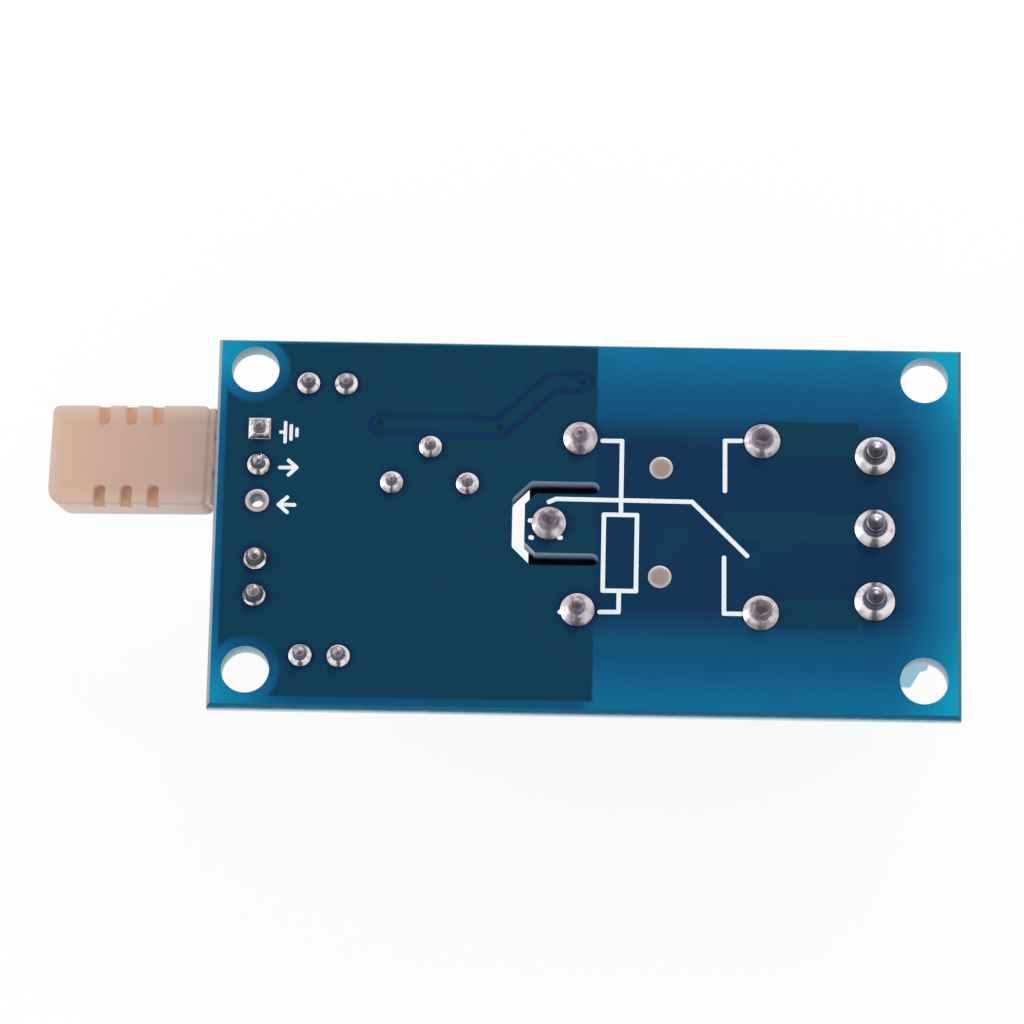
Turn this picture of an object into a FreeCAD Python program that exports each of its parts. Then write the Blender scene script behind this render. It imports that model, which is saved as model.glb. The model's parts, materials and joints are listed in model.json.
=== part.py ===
import FreeCAD, Part
import math
import os

# A one-channel relay switch module, lying on the flat top of its relay with the solder side up.
# X runs along the board from the sensor to the screw terminals and Y across it. The solder face
# is at Z = 0 and looks towards +Z, so every component stands on the other face, towards -Z.
# Heights are measured from that component face.

# Sides of what is drawn as a polygon to keep the facets few: solder and pads, thin wires with
# their holes, lamp lenses, and the relay's coil with its core
solder_sides = 16
wire_sides = 12
lens_sides = 20
coil_sides = 20

# Places closer together than this count as one
touch = 1e-6

# Circuit board
board_length = 50.0
board_width = 25.8
board_thickness = 1.6
board_centre_x = -0.02
board_centre_y = -0.17
score_depth = 0.45
score_bevel = 0.22
hole_inset_x = 2.5
hole_inset_y = 2.4
mounting_hole_diameter = 3.2
edge_column_inset = 2.93
via_free_drill = 0.95

# Milled slot round the common pin, given by its centre line
slot_width = 0.85
slot_end_x = 0.35
slot_bend_x = -3.6
slot_back_x = -4.6
slot_arm_y = 2.5
slot_bend_y = 1.5

# Solder, pads and the fits round the pins
pad_thickness = 0.04
solder_fit = 0.01
pin_fit = 0.02
pin_tip_above_solder = 0.14
pin_tip_chamfer = 0.1

# Relay: case
relay_stand_off = 0.3
relay_foot = 1.2
relay_wall = 0.8
relay_corner_radius = 0.9
relay_top_bevel = 0.35
relay_common_x = -2.55
relay_common_inset = 1.35
relay_contact_inset = 3.45
relay_side_inset = 1.75
relay_roof_gap = 0.15
relay_coil_setback = 2.0
relay_pin_y = 6.0
relay_base_thickness = 1.2
relay_base_recess = 0.3
relay_base_fit = 0.03

# Relay: magnet
yoke_thickness = 1.1
yoke_width = 6.8
yoke_floor_height = 2.0
yoke_leg_setback = 1.0
yoke_leg_height = 11.3
coil_leg_gap = 0.15
coil_diameter = 8.4
core_diameter = 3.6
core_fit = 0.05
pole_diameter = 6.0
pole_thickness = 0.8
bobbin_tube_wall = 0.7
bobbin_flange_thickness = 0.8
bobbin_pin_gap = 0.2
bobbin_flange_overhang = 0.1
bobbin_lug_wall = 0.45
bobbin_lug_length = 1.1

# Relay: armature and contacts
armature_thickness = 1.0
armature_overhang = 1.2
armature_corner = 1.0
armature_gap = 0.05
armature_travel_deg = 3.0
blade_thickness = 0.2
blade_root_width = 3.0
blade_tip_width = 2.2
blade_tip_overhang = 1.1
blade_reach = 3.55
blade_taper_start = 2.4
blade_knee_gap = 0.2
blade_knee_drop = 0.7
blade_heel_gap = 0.12
rivet_diameter = 1.4
rivet_height = 0.25
rivet_spacing = 3.2
contact_diameter = 1.7
contact_height = 0.35
contact_rest_gap = 0.06
contact_strip_thickness = 0.35
contact_strip_width = 1.7
contact_strip_overhang = 0.9
relay_pin_width = 1.0
relay_pin_thickness = 0.4
coil_pin_side = 0.6
heel_step_height = 3.0
heel_width = 3.0

# Screw terminals
pole_count = 3
pole_pitch = 5.08
terminal_relay_gap = 0.4
terminal_pin_setback = 3.71
terminal_depth = 7.6
terminal_height = 10.2
terminal_front_step = 5.9
terminal_front_lean = 0.9
terminal_back_chamfer = 0.6
terminal_wall = 0.7
terminal_partition = 0.88
terminal_shelf = 0.45
terminal_fit = 0.05
entry_width = 4.0
entry_low = 0.9
entry_high = 4.9
entry_throat_width = 3.0
strip_thickness = 0.5
strip_width = 2.2
strip_floor_gap = 0.05
terminal_pin_width = 1.0
terminal_pin_thickness = 0.8
tongue_overhang = 2.3
clamp_clearance = 0.05
clamp_wall = 0.6
clamp_floor = 0.5
clamp_top = 0.7
clamp_depth = 4.2
clamp_side_clearance = 0.1
clamp_travel = 2.6
wire_gap = 2.8
screw_diameter = 2.6
screw_head_diameter = 4.0
screw_head_height = 1.2
screw_head_clearance = 0.1
screw_thread_fit = 0.05
screw_slot_width = 0.7
screw_slot_depth = 0.7
screw_tip_gap = 0.05
screw_chamfer = 0.25

# Trimmer
trimmer_x = -10.59
trimmer_y = 3.95
trimmer_pin_span = 5.08
trimmer_pin_step = 2.54
trimmer_pin_diameter = 0.5
trimmer_width = 6.6
trimmer_depth = 7.0
trimmer_height = 4.9
trimmer_stand_off = 0.4
trimmer_wall = 0.35
trimmer_corner_radius = 0.3
trimmer_base_recess = 0.2
trimmer_base_thickness = 1.05
trimmer_base_fit = 0.05
trimmer_cavity_diameter = 5.2
trimmer_roof = 2.0
rotor_diameter = 3.6
rotor_fit = 0.06
rotor_flange_diameter = 4.6
rotor_flange_thickness = 0.6
rotor_gap = 0.08
rotor_proud = 0.15
rotor_slot_width = 0.6
rotor_slot_length = 2.7
rotor_slot_depth = 0.8
track_inner_radius = 1.35
track_outer_radius = 2.1
track_thickness = 0.06
track_gap_deg = 70.0
wiper_thickness = 0.12
wiper_width = 0.8
wiper_lift = 0.02

# Power header
header_y = -4.07
header_pitch = 2.54
header_pin_count = 2
header_height = 2.5
header_chamfer = 0.4
header_pin_side = 0.64
header_pin_reach = 8.5

# Sensor, with its own axes: X along it towards the board, Z up through its front face
sensor_board_gap = 0.18
sensor_y = 5.03
sensor_z = -2.22
sensor_yaw_deg = -2.6
sensor_droop_deg = 10.0
sensor_roll_deg = 4.8
sensor_length = 11.0
sensor_width = 6.95
sensor_thickness = 3.0
sensor_wall = 0.8
sensor_tip_radii = (1.2, 0.5)
sensor_end_radius = 0.5
sensor_edge_bevel = 0.22
sensor_slot_count = 3
sensor_slot_pitch = 1.86
sensor_slot_width = 0.87
sensor_slot_reach = 1.4
sensor_slot_drop = 1.0
sensor_cap_collar = 0.35
sensor_cap_inset = 0.2
sensor_cap_plug = 1.0
sensor_cap_fit = 0.05
sensor_element_length = 7.0
sensor_element_width = 4.2
sensor_element_thickness = 0.7
sensor_element_gap = 0.2
sensor_lead_diameter = 0.5
sensor_lead_bend = 0.7
sensor_lead_overlap = 0.6
sensor_pad_y = (6.32, 3.78)
sensor_spare_y = 1.24

# Indicator lamps
lamp_upper_inset = (4.46, 0.92)
lamp_lower_inset = (4.48, 1.025)
lamp_lead_span = 2.54
lamp_lead_side = 0.5
lamp_stand_off = 0.6
lamp_flange_diameter = 3.8
lamp_flange_height = 1.0
lamp_flange_flat = 0.3
lamp_diameter = 3.0
lamp_height = 5.3
lens_dome_steps = 4
lamp_post_height = 1.9
lamp_cup_height = 2.6
lamp_cup_width = 1.3

# Comparator chip
chip_x = -15.0
chip_y = -3.2
chip_length = 4.9
chip_width = 3.9
chip_height = 1.5
chip_stand_off = 0.1
chip_draft = 0.18
chip_lead_count = 4
chip_lead_pitch = 1.27
chip_lead_width = 0.42
chip_lead_thickness = 0.2
chip_lead_span = 6.0
chip_lead_foot = 0.6
chip_mark_radius = 0.35
chip_mark_depth = 0.08

# Switching transistor
transistor_x = -8.2
transistor_y = -9.4
transistor_length = 2.9
transistor_width = 1.3
transistor_height = 1.05
transistor_lead_width = 0.42
transistor_lead_thickness = 0.14
transistor_lead_span = 2.4
transistor_lead_foot = 0.35
transistor_lead_pitch = 0.95

# Flyback diode
diode_x = -6.3
diode_y = -4.2
diode_length = 2.7
diode_width = 1.6
diode_height = 1.1
diode_lead_width = 0.6
diode_lead_thickness = 0.14
diode_lead_span = 3.7
diode_lead_foot = 0.3

# Chip resistors and capacitors: length, width, height and end cap length
resistor_size = (1.6, 0.8, 0.45)
resistor_cap = 0.3
capacitor_size = (2.0, 1.25, 0.85)
capacitor_cap = 0.4
end_cap_skin = 0.03
resistor_places = (
    (-18.4, 5.9, 0),
    (-18.4, 4.2, 0),
    (-18.4, 2.5, 0),
    (-10.4, -2.4, 90),
    (-8.7, -2.4, 90),
    (-12.4, -9.2, 0),
    (-12.4, -10.9, 0),
)
capacitor_places = (
    (-12.6, 10.0, 0),
    (-19.0, -0.6, 90),
    (-9.2, -6.3, 0),
)

# Solder joints: base diameter and height of each size, with the drill of its hole
joint_contact = (2.4, 1.25)
joint_coil = (2.28, 1.2)
joint_terminal = (2.68, 1.35)
joint_small = (1.5, 0.95)
drill_relay = 1.3
drill_terminal = 1.5
drill_small = 0.9
drill_header = 1.05
solder_tip_share = 0.42
solder_belly_out = 0.3
solder_belly_up = 0.4
spare_pad_diameter = 1.57
ring_pad_diameter = 1.6
spare_pads = ((4.9, 4.0), (4.9, -3.62))

# Values that follow from the sizes above
board_left = board_centre_x - board_length / 2.0
board_right = board_centre_x + board_length / 2.0
board_front = board_centre_y - board_width / 2.0
board_back = board_centre_y + board_width / 2.0
mounting_span_x = board_length - 2.0 * hole_inset_x
mounting_span_y = board_width - 2.0 * hole_inset_y
column_x = board_left + edge_column_inset
sensor_x = board_left - sensor_board_gap - sensor_cap_collar - sensor_length / 2.0
lamp_centres = (
    (column_x + lamp_upper_inset[0], mounting_span_y / 2.0 - lamp_upper_inset[1]),
    (column_x + lamp_lower_inset[0], lamp_lower_inset[1] - mounting_span_y / 2.0),
)
relay_base_low = relay_stand_off + relay_base_recess
relay_base_high = relay_base_low + relay_base_thickness
yoke_leg_outer_x = relay_common_x + yoke_leg_setback
relay_coil_pin_x = relay_common_x + relay_coil_setback
coil_axis_x = yoke_leg_outer_x + yoke_thickness + coil_leg_gap + coil_diameter / 2.0
bobbin_flange_width = 2.0 * relay_pin_y - coil_pin_side - 2.0 * bobbin_pin_gap
core_top = yoke_leg_height
armature_low = core_top + armature_gap
armature_high = armature_low + armature_thickness
blade_high = armature_high + blade_thickness
armature_right = coil_axis_x + pole_diameter / 2.0 + armature_overhang
hinge_x = yoke_leg_outer_x
hinge_height = core_top + armature_gap / 2.0
contact_x = armature_right + blade_reach
contact_rise = (contact_x - hinge_x) * math.sin(math.radians(armature_travel_deg))
closed_low = blade_high + contact_rise + contact_rest_gap + 2.0 * contact_height
open_low = armature_high - contact_rest_gap - 2.0 * contact_height - contact_strip_thickness
relay_roof = closed_low + contact_strip_thickness + relay_roof_gap
relay_height = relay_roof + relay_wall
relay_left = relay_common_x - relay_common_inset
relay_right = contact_x + relay_contact_inset
relay_width = 2.0 * (relay_pin_y + relay_side_inset)
terminal_back_x = relay_right + terminal_relay_gap
terminal_pin_x = terminal_back_x + terminal_pin_setback
terminal_front_x = terminal_back_x + terminal_depth
strip_low = strip_floor_gap
strip_back = terminal_back_x + terminal_wall + terminal_fit
clamp_low = strip_low + strip_thickness + clamp_clearance
clamp_inner_low = clamp_low + clamp_floor
tongue_low = clamp_inner_low + wire_gap
tongue_high = tongue_low + strip_thickness
clamp_top_low = tongue_high + clamp_clearance
clamp_high = clamp_top_low + clamp_top
clamp_width = pole_pitch - terminal_partition - 2.0 * clamp_side_clearance
entry_throat_low = clamp_inner_low + clamp_clearance
entry_throat_high = tongue_low
chamber_top = clamp_high + clamp_travel + clamp_clearance
chamber_upper_front = terminal_pin_x + tongue_overhang + terminal_fit
shelf_high = chamber_top + terminal_shelf
pole_rows = [(pole_count - 1) / 2.0 * pole_pitch - index * pole_pitch for index in range(pole_count)]


def vector(x, y, z):
    """A point or direction."""
    return FreeCAD.Vector(x, y, z)


def level(height):
    """The Z of a height above the component face, which looks towards -Z."""
    return -board_thickness - height


def block(x_range, y_range, heights):
    """A straight block between two X, two Y and two heights."""
    size_x = x_range[1] - x_range[0]
    size_y = y_range[1] - y_range[0]
    size_h = heights[1] - heights[0]
    corner = vector(x_range[0], y_range[0], level(heights[1]))
    return Part.makeBox(size_x, size_y, size_h, corner)


def around(centre, size):
    """The two ends of a size laid evenly about a centre."""
    return (centre - size / 2.0, centre + size / 2.0)


def rod(x, y, heights, diameter):
    """An upright cylinder between two heights."""
    start = vector(x, y, level(heights[1]))
    return Part.makeCylinder(diameter / 2.0, heights[1] - heights[0], start)


def outline_face(points):
    """A flat face inside a closed polygon."""
    return Part.Face(Part.makePolygon(points + [points[0]]))


def side_profile(points, y_range):
    """A profile of (x, height) points drawn out along Y."""
    face = outline_face([vector(x, y_range[0], level(h)) for x, h in points])
    return face.extrude(vector(0, y_range[1] - y_range[0], 0))


def end_profile(points, x_range):
    """A profile of (y, height) points drawn out along X."""
    face = outline_face([vector(x_range[0], y, level(h)) for y, h in points])
    return face.extrude(vector(x_range[1] - x_range[0], 0, 0))


def plan_profile(points, heights):
    """A plan of (x, y) points drawn up between two heights."""
    face = outline_face([vector(x, y, level(heights[1])) for x, y in points])
    return face.extrude(vector(0, 0, heights[1] - heights[0]))


def polygon_points(centre, normal, sideways, radius, sides):
    """The corners of a regular polygon, square to a direction, with one corner sideways."""
    across = normal.cross(sideways).normalize()
    level_side = across.cross(normal).normalize()
    corners = []
    for index in range(sides):
        angle = 2.0 * math.pi * index / sides
        corners.append(centre + level_side * (radius * math.cos(angle)) + across * (radius * math.sin(angle)))
    return corners


def many_sided(x, y, sections, sides):
    """A solid of flat faces through level polygons, as (radius, z) from the lowest to the highest."""
    up = vector(0, 0, 1)
    right = vector(1, 0, 0)
    rings = [polygon_points(vector(x, y, z), up, right, radius, sides) for radius, z in sections]
    faces = [outline_face(rings[0][::-1]), outline_face(rings[-1])]
    for low, high in zip(rings, rings[1:]):
        for index in range(sides):
            after = (index + 1) % sides
            faces.append(outline_face([low[index], low[after], high[after], high[index]]))
    return Part.makeSolid(Part.makeShell(faces))


def coil_ring(heights, diameter):
    """A many-sided upright on the coil's axis between two heights."""
    radius = diameter / 2.0
    sections = [(radius, level(heights[1])), (radius, level(heights[0]))]
    return many_sided(coil_axis_x, 0.0, sections, coil_sides)


def turned(x, y, points):
    """A profile of (radius, height) points turned about the upright through x, y."""
    face = outline_face([vector(x + r, y, level(h)) for r, h in points])
    return face.revolve(vector(x, y, 0), vector(0, 0, 1), 360)


def rectangle_wire(x_range, y_range, z):
    """A closed rectangle at one Z."""
    corners = [
        vector(x_range[0], y_range[0], z),
        vector(x_range[1], y_range[0], z),
        vector(x_range[1], y_range[1], z),
        vector(x_range[0], y_range[1], z),
    ]
    return Part.makePolygon(corners + [corners[0]])


def upright_edges(shape):
    """The straight edges of a shape that run along Z."""
    found = []
    for edge in shape.Edges:
        start = edge.Vertexes[0].Point
        end = edge.Vertexes[-1].Point
        if abs(start.x - end.x) < touch and abs(start.y - end.y) < touch:
            found.append(edge)
    return found


def edges_at(shape, z):
    """The edges of a shape that lie wholly at one Z."""
    return [edge for edge in shape.Edges if all(abs(v.Z - z) < touch for v in edge.Vertexes)]


def joined(shapes):
    """One body fused from several that touch."""
    first = shapes[0]
    return first.fuse(shapes[1:]).removeSplitter()


def save(node, shape):
    """Writes one subcomponent."""
    shape.exportStep("parts/%s.step" % node)


def corner_holes():
    """The centres of the four mounting holes."""
    half_x = mounting_span_x / 2.0
    half_y = mounting_span_y / 2.0
    return [(x, y) for x in (-half_x, half_x) for y in (-half_y, half_y)]


def header_places():
    """The centres of the header's pins."""
    first = header_y + (header_pin_count - 1) / 2.0 * header_pitch
    return [(column_x, first - index * header_pitch) for index in range(header_pin_count)]


def trimmer_places():
    """The centres of the trimmer's pins: the wiper's pin and the two track pins."""
    half_step = trimmer_pin_step / 2.0
    half_span = trimmer_pin_span / 2.0
    return [
        (trimmer_x, trimmer_y + half_step),
        (trimmer_x - half_span, trimmer_y - half_step),
        (trimmer_x + half_span, trimmer_y - half_step),
    ]


def lamp_places():
    """The centres of the lamps' leads."""
    half = lamp_lead_span / 2.0
    return [(x + side * half, y) for x, y in lamp_centres for side in (-1, 1)]


def relay_places():
    """The relay's pins: common, two of the coil, normally closed and normally open."""
    return {
        "common": (relay_common_x, 0.0),
        "coil_a": (relay_coil_pin_x, relay_pin_y),
        "coil_b": (relay_coil_pin_x, -relay_pin_y),
        "closed": (contact_x, relay_pin_y),
        "open": (contact_x, -relay_pin_y),
    }


def sensor_places():
    """The centres of the sensor's two leads."""
    return [(column_x, y) for y in sensor_pad_y]


def upright_pin(x, y, size, z_low, z_high, growth=0.0):
    """A straight pin of round (one size) or rectangular (two sizes) section."""
    length = z_high - z_low
    if len(size) == 1:
        radius = size[0] / 2.0 + growth
        return many_sided(x, y, [(radius, z_low), (radius, z_high)], wire_sides)
    wide = size[0] + 2.0 * growth
    deep = size[1] + 2.0 * growth
    return Part.makeBox(wide, deep, length, vector(x - wide / 2.0, y - deep / 2.0, z_low))


def pointed_pin(x, y, size, z_low, z_high):
    """An upright pin with its solder-side end chamfered."""
    pin = upright_pin(x, y, size, z_low, z_high)
    if len(size) == 1:
        return pin
    return pin.makeChamfer(pin_tip_chamfer, edges_at(pin, z_high))


def pin_tip(joint):
    """The Z of a pin's end above its solder joint."""
    return pad_thickness + joint[1] + pin_tip_above_solder


# Each soldered pin: place, section, joint and drill
pin_table = {
    "relay": [
        (relay_places()["common"], (relay_pin_thickness, relay_pin_width), joint_coil, drill_relay),
        (relay_places()["coil_a"], (coil_pin_side, coil_pin_side), joint_coil, drill_relay),
        (relay_places()["coil_b"], (coil_pin_side, coil_pin_side), joint_coil, drill_relay),
        (relay_places()["closed"], (relay_pin_width, relay_pin_thickness), joint_contact, drill_relay),
        (relay_places()["open"], (relay_pin_width, relay_pin_thickness), joint_contact, drill_relay),
    ],
    "terminals": [
        ((terminal_pin_x, y), (terminal_pin_thickness, terminal_pin_width), joint_terminal, drill_terminal)
        for y in pole_rows
    ],
    "trimmer": [(place, (trimmer_pin_diameter,), joint_small, drill_small) for place in trimmer_places()],
    "sensor": [(place, (sensor_lead_diameter,), joint_small, drill_small) for place in sensor_places()],
    "header": [
        (place, (header_pin_side, header_pin_side), joint_small, drill_header) for place in header_places()
    ],
    "lamps": [
        (place, (lamp_lead_side, lamp_lead_side), joint_small, drill_small) for place in lamp_places()
    ],
}


def milled_slot():
    """The cutter path of the slot round the common pin, with round ends and corners."""
    path = [
        (slot_end_x, slot_arm_y),
        (slot_bend_x, slot_arm_y),
        (slot_back_x, slot_bend_y),
        (slot_back_x, -slot_bend_y),
        (slot_bend_x, -slot_arm_y),
        (slot_end_x, -slot_arm_y),
    ]
    cutter = slot_width / 2.0
    through = (-2.0 * board_thickness, board_thickness)
    pieces = [rod(x, y, through, slot_width) for x, y in path]
    for start, end in zip(path, path[1:]):
        run_x = end[0] - start[0]
        run_y = end[1] - start[1]
        length = math.hypot(run_x, run_y)
        side_x = -run_y / length * cutter
        side_y = run_x / length * cutter
        corners = [
            (start[0] + side_x, start[1] + side_y),
            (end[0] + side_x, end[1] + side_y),
            (end[0] - side_x, end[1] - side_y),
            (start[0] - side_x, start[1] - side_y),
        ]
        pieces.append(plan_profile(corners, through))
    return joined(pieces)


def make_board():
    """The bare board: scored edges, mounting holes, pin holes and the milled slot."""
    full_x = (board_left, board_right)
    full_y = (board_front, board_back)
    inner_x = (board_left + score_bevel, board_right - score_bevel)
    inner_y = (board_front + score_bevel, board_back - score_bevel)
    sections = [
        (inner_x, inner_y, -board_thickness),
        (full_x, full_y, -board_thickness + score_depth),
        (full_x, full_y, -score_depth),
        (inner_x, inner_y, 0.0),
    ]
    wires = [rectangle_wire(*section) for section in sections]
    layers = [Part.makeLoft([low, high], True, True) for low, high in zip(wires, wires[1:])]
    board = joined(layers)
    through = (-2.0 * board_thickness, board_thickness)
    cuts = [rod(x, y, through, mounting_hole_diameter) for x, y in corner_holes()]
    for pins in pin_table.values():
        for place, _, _, drill in pins:
            low = level(board_thickness)
            cuts.append(upright_pin(place[0], place[1], (drill,), low, board_thickness))
    cuts.append(
        upright_pin(column_x, sensor_spare_y, (via_free_drill,), level(board_thickness), board_thickness)
    )
    cuts.append(milled_slot())
    return board.cut(cuts)


def pad_disc(x, y, diameter, drill):
    """A tinned round pad on the solder face, with its hole where it has one."""
    disc = many_sided(x, y, [(diameter / 2.0, 0.0), (diameter / 2.0, pad_thickness)], solder_sides)
    if drill == 0.0:
        return disc
    return disc.cut(upright_pin(x, y, (drill,), -pad_thickness, 2.0 * pad_thickness))


def make_pads():
    """The pads that show: a square one for the sensor's first lead, a bare ring, two test pads."""
    place, _, joint, drill = pin_table["sensor"][0]
    corner = vector(place[0] - joint[0] / 2.0, place[1] - joint[0] / 2.0, 0)
    square = Part.makeBox(joint[0], joint[0], pad_thickness, corner)
    hole = upright_pin(place[0], place[1], (drill,), -pad_thickness, 2.0 * pad_thickness)
    pads = [square.cut(hole)]
    pads.append(pad_disc(column_x, sensor_spare_y, ring_pad_diameter, via_free_drill))
    pads += [pad_disc(x, y, spare_pad_diameter, 0.0) for x, y in spare_pads]
    return Part.makeCompound(pads)


def solder_joint(place, section, joint, drill):
    """A hollow-flanked cone of solder, from its rim over a narrower belly to its tip."""
    x, y = place
    base = joint[0] / 2.0
    tip = base * solder_tip_share
    foot = 0.0
    if place == sensor_places()[0]:
        foot = pad_thickness
    top = pad_thickness + joint[1]
    belly = (tip + (base - tip) * solder_belly_out, foot + (top - foot) * solder_belly_up)
    body = many_sided(x, y, [(base, foot), belly, (tip, top)], solder_sides)
    bore = upright_pin(x, y, section, -2.0 * board_thickness, 2.0 * top, solder_fit)
    return body.cut(bore)


def make_solder(group):
    """The joints of one component."""
    return Part.makeCompound([solder_joint(*pin) for pin in pin_table[group]])


def make_relay_cover():
    """The moulded case: open towards the board, on four feet."""
    x_out = (relay_left, relay_right)
    y_out = around(0.0, relay_width)
    shell = block(x_out, y_out, (relay_stand_off, relay_height))
    shell = shell.makeFillet(relay_corner_radius, upright_edges(shell))
    shell = shell.makeChamfer(relay_top_bevel, edges_at(shell, level(relay_height)))
    x_in = (relay_left + relay_wall, relay_right - relay_wall)
    y_in = around(0.0, relay_width - 2.0 * relay_wall)
    shell = shell.cut(block(x_in, y_in, (relay_stand_off, relay_roof)))
    feet = []
    for side_x in (0, 1):
        for side_y in (0, 1):
            x0 = (x_out[0], x_out[1] - relay_foot)[side_x] + relay_corner_radius * (1 - 2 * side_x)
            y0 = (y_out[0], y_out[1] - relay_wall)[side_y]
            foot = block((x0, x0 + relay_foot), (y0, y0 + relay_wall), (0.0, relay_stand_off))
            feet.append(foot)
    return joined([shell] + feet)


def relay_pin_cuts(heights):
    """The slots that let the relay's pins through its base."""
    cuts = []
    for place, section, _, _ in pin_table["relay"]:
        cuts.append(
            upright_pin(place[0], place[1], section, level(heights[1]), level(heights[0]), pin_fit)
        )
    return cuts


def make_relay_base():
    """The plate that closes the case round the pins."""
    inset = relay_wall + relay_base_fit
    x_range = (relay_left + inset, relay_right - inset)
    y_range = around(0.0, relay_width - 2.0 * inset)
    heights = (relay_base_low, relay_base_high)
    plate = block(x_range, y_range, heights)
    return plate.cut(relay_pin_cuts(heights))


def make_relay_yoke():
    """The L of the magnet: a floor under the coil and a leg that carries the armature."""
    floor_high = yoke_floor_height + yoke_thickness
    points = [
        (yoke_leg_outer_x, yoke_floor_height),
        (armature_right, yoke_floor_height),
        (armature_right, floor_high),
        (yoke_leg_outer_x + yoke_thickness, floor_high),
        (yoke_leg_outer_x + yoke_thickness, yoke_leg_height),
        (yoke_leg_outer_x, yoke_leg_height),
    ]
    yoke = side_profile(points, around(0.0, yoke_width))
    seat = coil_ring((yoke_floor_height, floor_high), core_diameter)
    return yoke.cut(seat)


def make_relay_core():
    """The riveted iron core with its wider pole face."""
    neck = core_top - pole_thickness
    shank = coil_ring((yoke_floor_height, neck), core_diameter)
    pole = coil_ring((neck, core_top), pole_diameter)
    return joined([shank, pole])


def bobbin_heights():
    """The bobbin's four levels: under and over each of its two flanges."""
    low = yoke_floor_height + yoke_thickness
    high = core_top - pole_thickness
    return (low, low + bobbin_flange_thickness, high - bobbin_flange_thickness, high)


def make_relay_bobbin():
    """The bobbin: a tube, two flanges and two lugs that hold the coil's pins."""
    levels = bobbin_heights()
    half_x = coil_diameter / 2.0 + bobbin_flange_overhang
    x_range = (coil_axis_x - half_x, coil_axis_x + half_x)
    y_range = around(0.0, bobbin_flange_width)
    tube_bore = core_diameter + 2.0 * core_fit
    tube_out = tube_bore + 2.0 * bobbin_tube_wall
    pieces = [
        coil_ring((levels[0], levels[3]), tube_out),
        block(x_range, y_range, (levels[0], levels[1])),
        block(x_range, y_range, (levels[2], levels[3])),
    ]
    lug_side = coil_pin_side / 2.0 + bobbin_lug_wall
    lug_end = relay_pin_y + lug_side
    lug_x = (relay_coil_pin_x - lug_side, relay_coil_pin_x + bobbin_lug_length)
    for y_low, y_high in ((relay_pin_y - lug_side, lug_end), (-lug_end, -relay_pin_y + lug_side)):
        lug_heights = (relay_base_high, levels[1])
        pieces.append(block(lug_x, (y_low, y_high), lug_heights))
    bobbin = joined(pieces)
    cuts = [coil_ring((levels[0], levels[3]), tube_bore)]
    cuts += relay_pin_cuts((relay_base_high, levels[1]))[1:3]
    return bobbin.cut(cuts)


def make_relay_winding():
    """The wound copper between the bobbin's flanges."""
    levels = bobbin_heights()
    bore = core_diameter + 2.0 * core_fit + 2.0 * bobbin_tube_wall
    heights = (levels[1], levels[2])
    full = coil_ring(heights, coil_diameter)
    return full.cut(coil_ring(heights, bore + 2.0 * solder_fit))


def make_relay_coil_pins():
    """The two pins that the coil's wire ends on."""
    levels = bobbin_heights()
    pins = []
    for index in (1, 2):
        place, section, joint, _ = pin_table["relay"][index]
        pins.append(pointed_pin(place[0], place[1], section, level(levels[1]), pin_tip(joint)))
    return Part.makeCompound(pins)


def make_relay_heel():
    """The common terminal: a pin, a step and the strip fixed along the yoke's leg."""
    pin_face = relay_common_x - relay_pin_thickness / 2.0
    strip_top = yoke_leg_height - blade_knee_drop - blade_heel_gap
    step_high = heel_step_height + relay_pin_thickness
    inner = yoke_leg_outer_x
    points = [
        (pin_face, relay_base_low),
        (pin_face + relay_pin_thickness, relay_base_low),
        (pin_face + relay_pin_thickness, heel_step_height),
        (inner, heel_step_height),
        (inner, strip_top),
        (inner - relay_pin_thickness, strip_top),
        (inner - relay_pin_thickness, step_high),
        (pin_face, step_high),
    ]
    foot = block(
        (pin_face, pin_face + relay_pin_thickness),
        around(0.0, relay_pin_width),
        (relay_base_low, relay_base_high + pin_fit),
    )
    wide = [(x, max(h, relay_base_high + pin_fit)) for x, h in points]
    strip = side_profile(wide, around(0.0, heel_width))
    place, section, joint, _ = pin_table["relay"][0]
    pin = pointed_pin(place[0], place[1], section, level(relay_base_low), pin_tip(joint))
    return joined([strip, foot, pin])


def opened(shape):
    """The armature's parts as they rest: tilted off the pole by the full travel."""
    copy = shape.copy()
    copy.rotate(vector(hinge_x, 0, level(hinge_height)), vector(0, 1, 0), armature_travel_deg)
    return copy


def make_relay_armature():
    """The iron plate that the coil pulls in."""
    plate = block((hinge_x, armature_right), around(0.0, yoke_width), (armature_low, armature_high))
    free_end = [edge for edge in upright_edges(plate) if edge.Vertexes[0].X > hinge_x]
    plate = plate.makeChamfer(armature_corner, free_end)
    return opened(plate)


def make_relay_blade():
    """The moving contact: a knee over the hinge, a tapered blade, rivets and two buttons."""
    knee_inner = hinge_x - blade_knee_gap
    knee_outer = knee_inner - blade_thickness
    knee_low = yoke_leg_height - blade_knee_drop
    half_root = blade_root_width / 2.0
    half_tip = blade_tip_width / 2.0
    tip_x = contact_x + blade_tip_overhang
    taper_x = armature_right + blade_taper_start
    top = plan_profile(
        [
            (knee_outer, -half_root),
            (armature_right, -half_root),
            (taper_x, -half_tip),
            (tip_x, -half_tip),
            (tip_x, half_tip),
            (taper_x, half_tip),
            (armature_right, half_root),
            (knee_outer, half_root),
        ],
        (armature_high, blade_high),
    )
    knee = block((knee_outer, knee_inner), around(0.0, blade_root_width), (knee_low, blade_high))
    rivet_top = level(blade_high + rivet_height)
    rivets = [
        upright_pin(
            coil_axis_x + side * rivet_spacing / 2.0, 0.0, (rivet_diameter,), rivet_top, level(armature_high)
        )
        for side in (-1, 1)
    ]
    button_heights = (armature_high - contact_height, blade_high + contact_height)
    button = contact_button(button_heights)
    return opened(joined([top, knee, button] + rivets))


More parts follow.
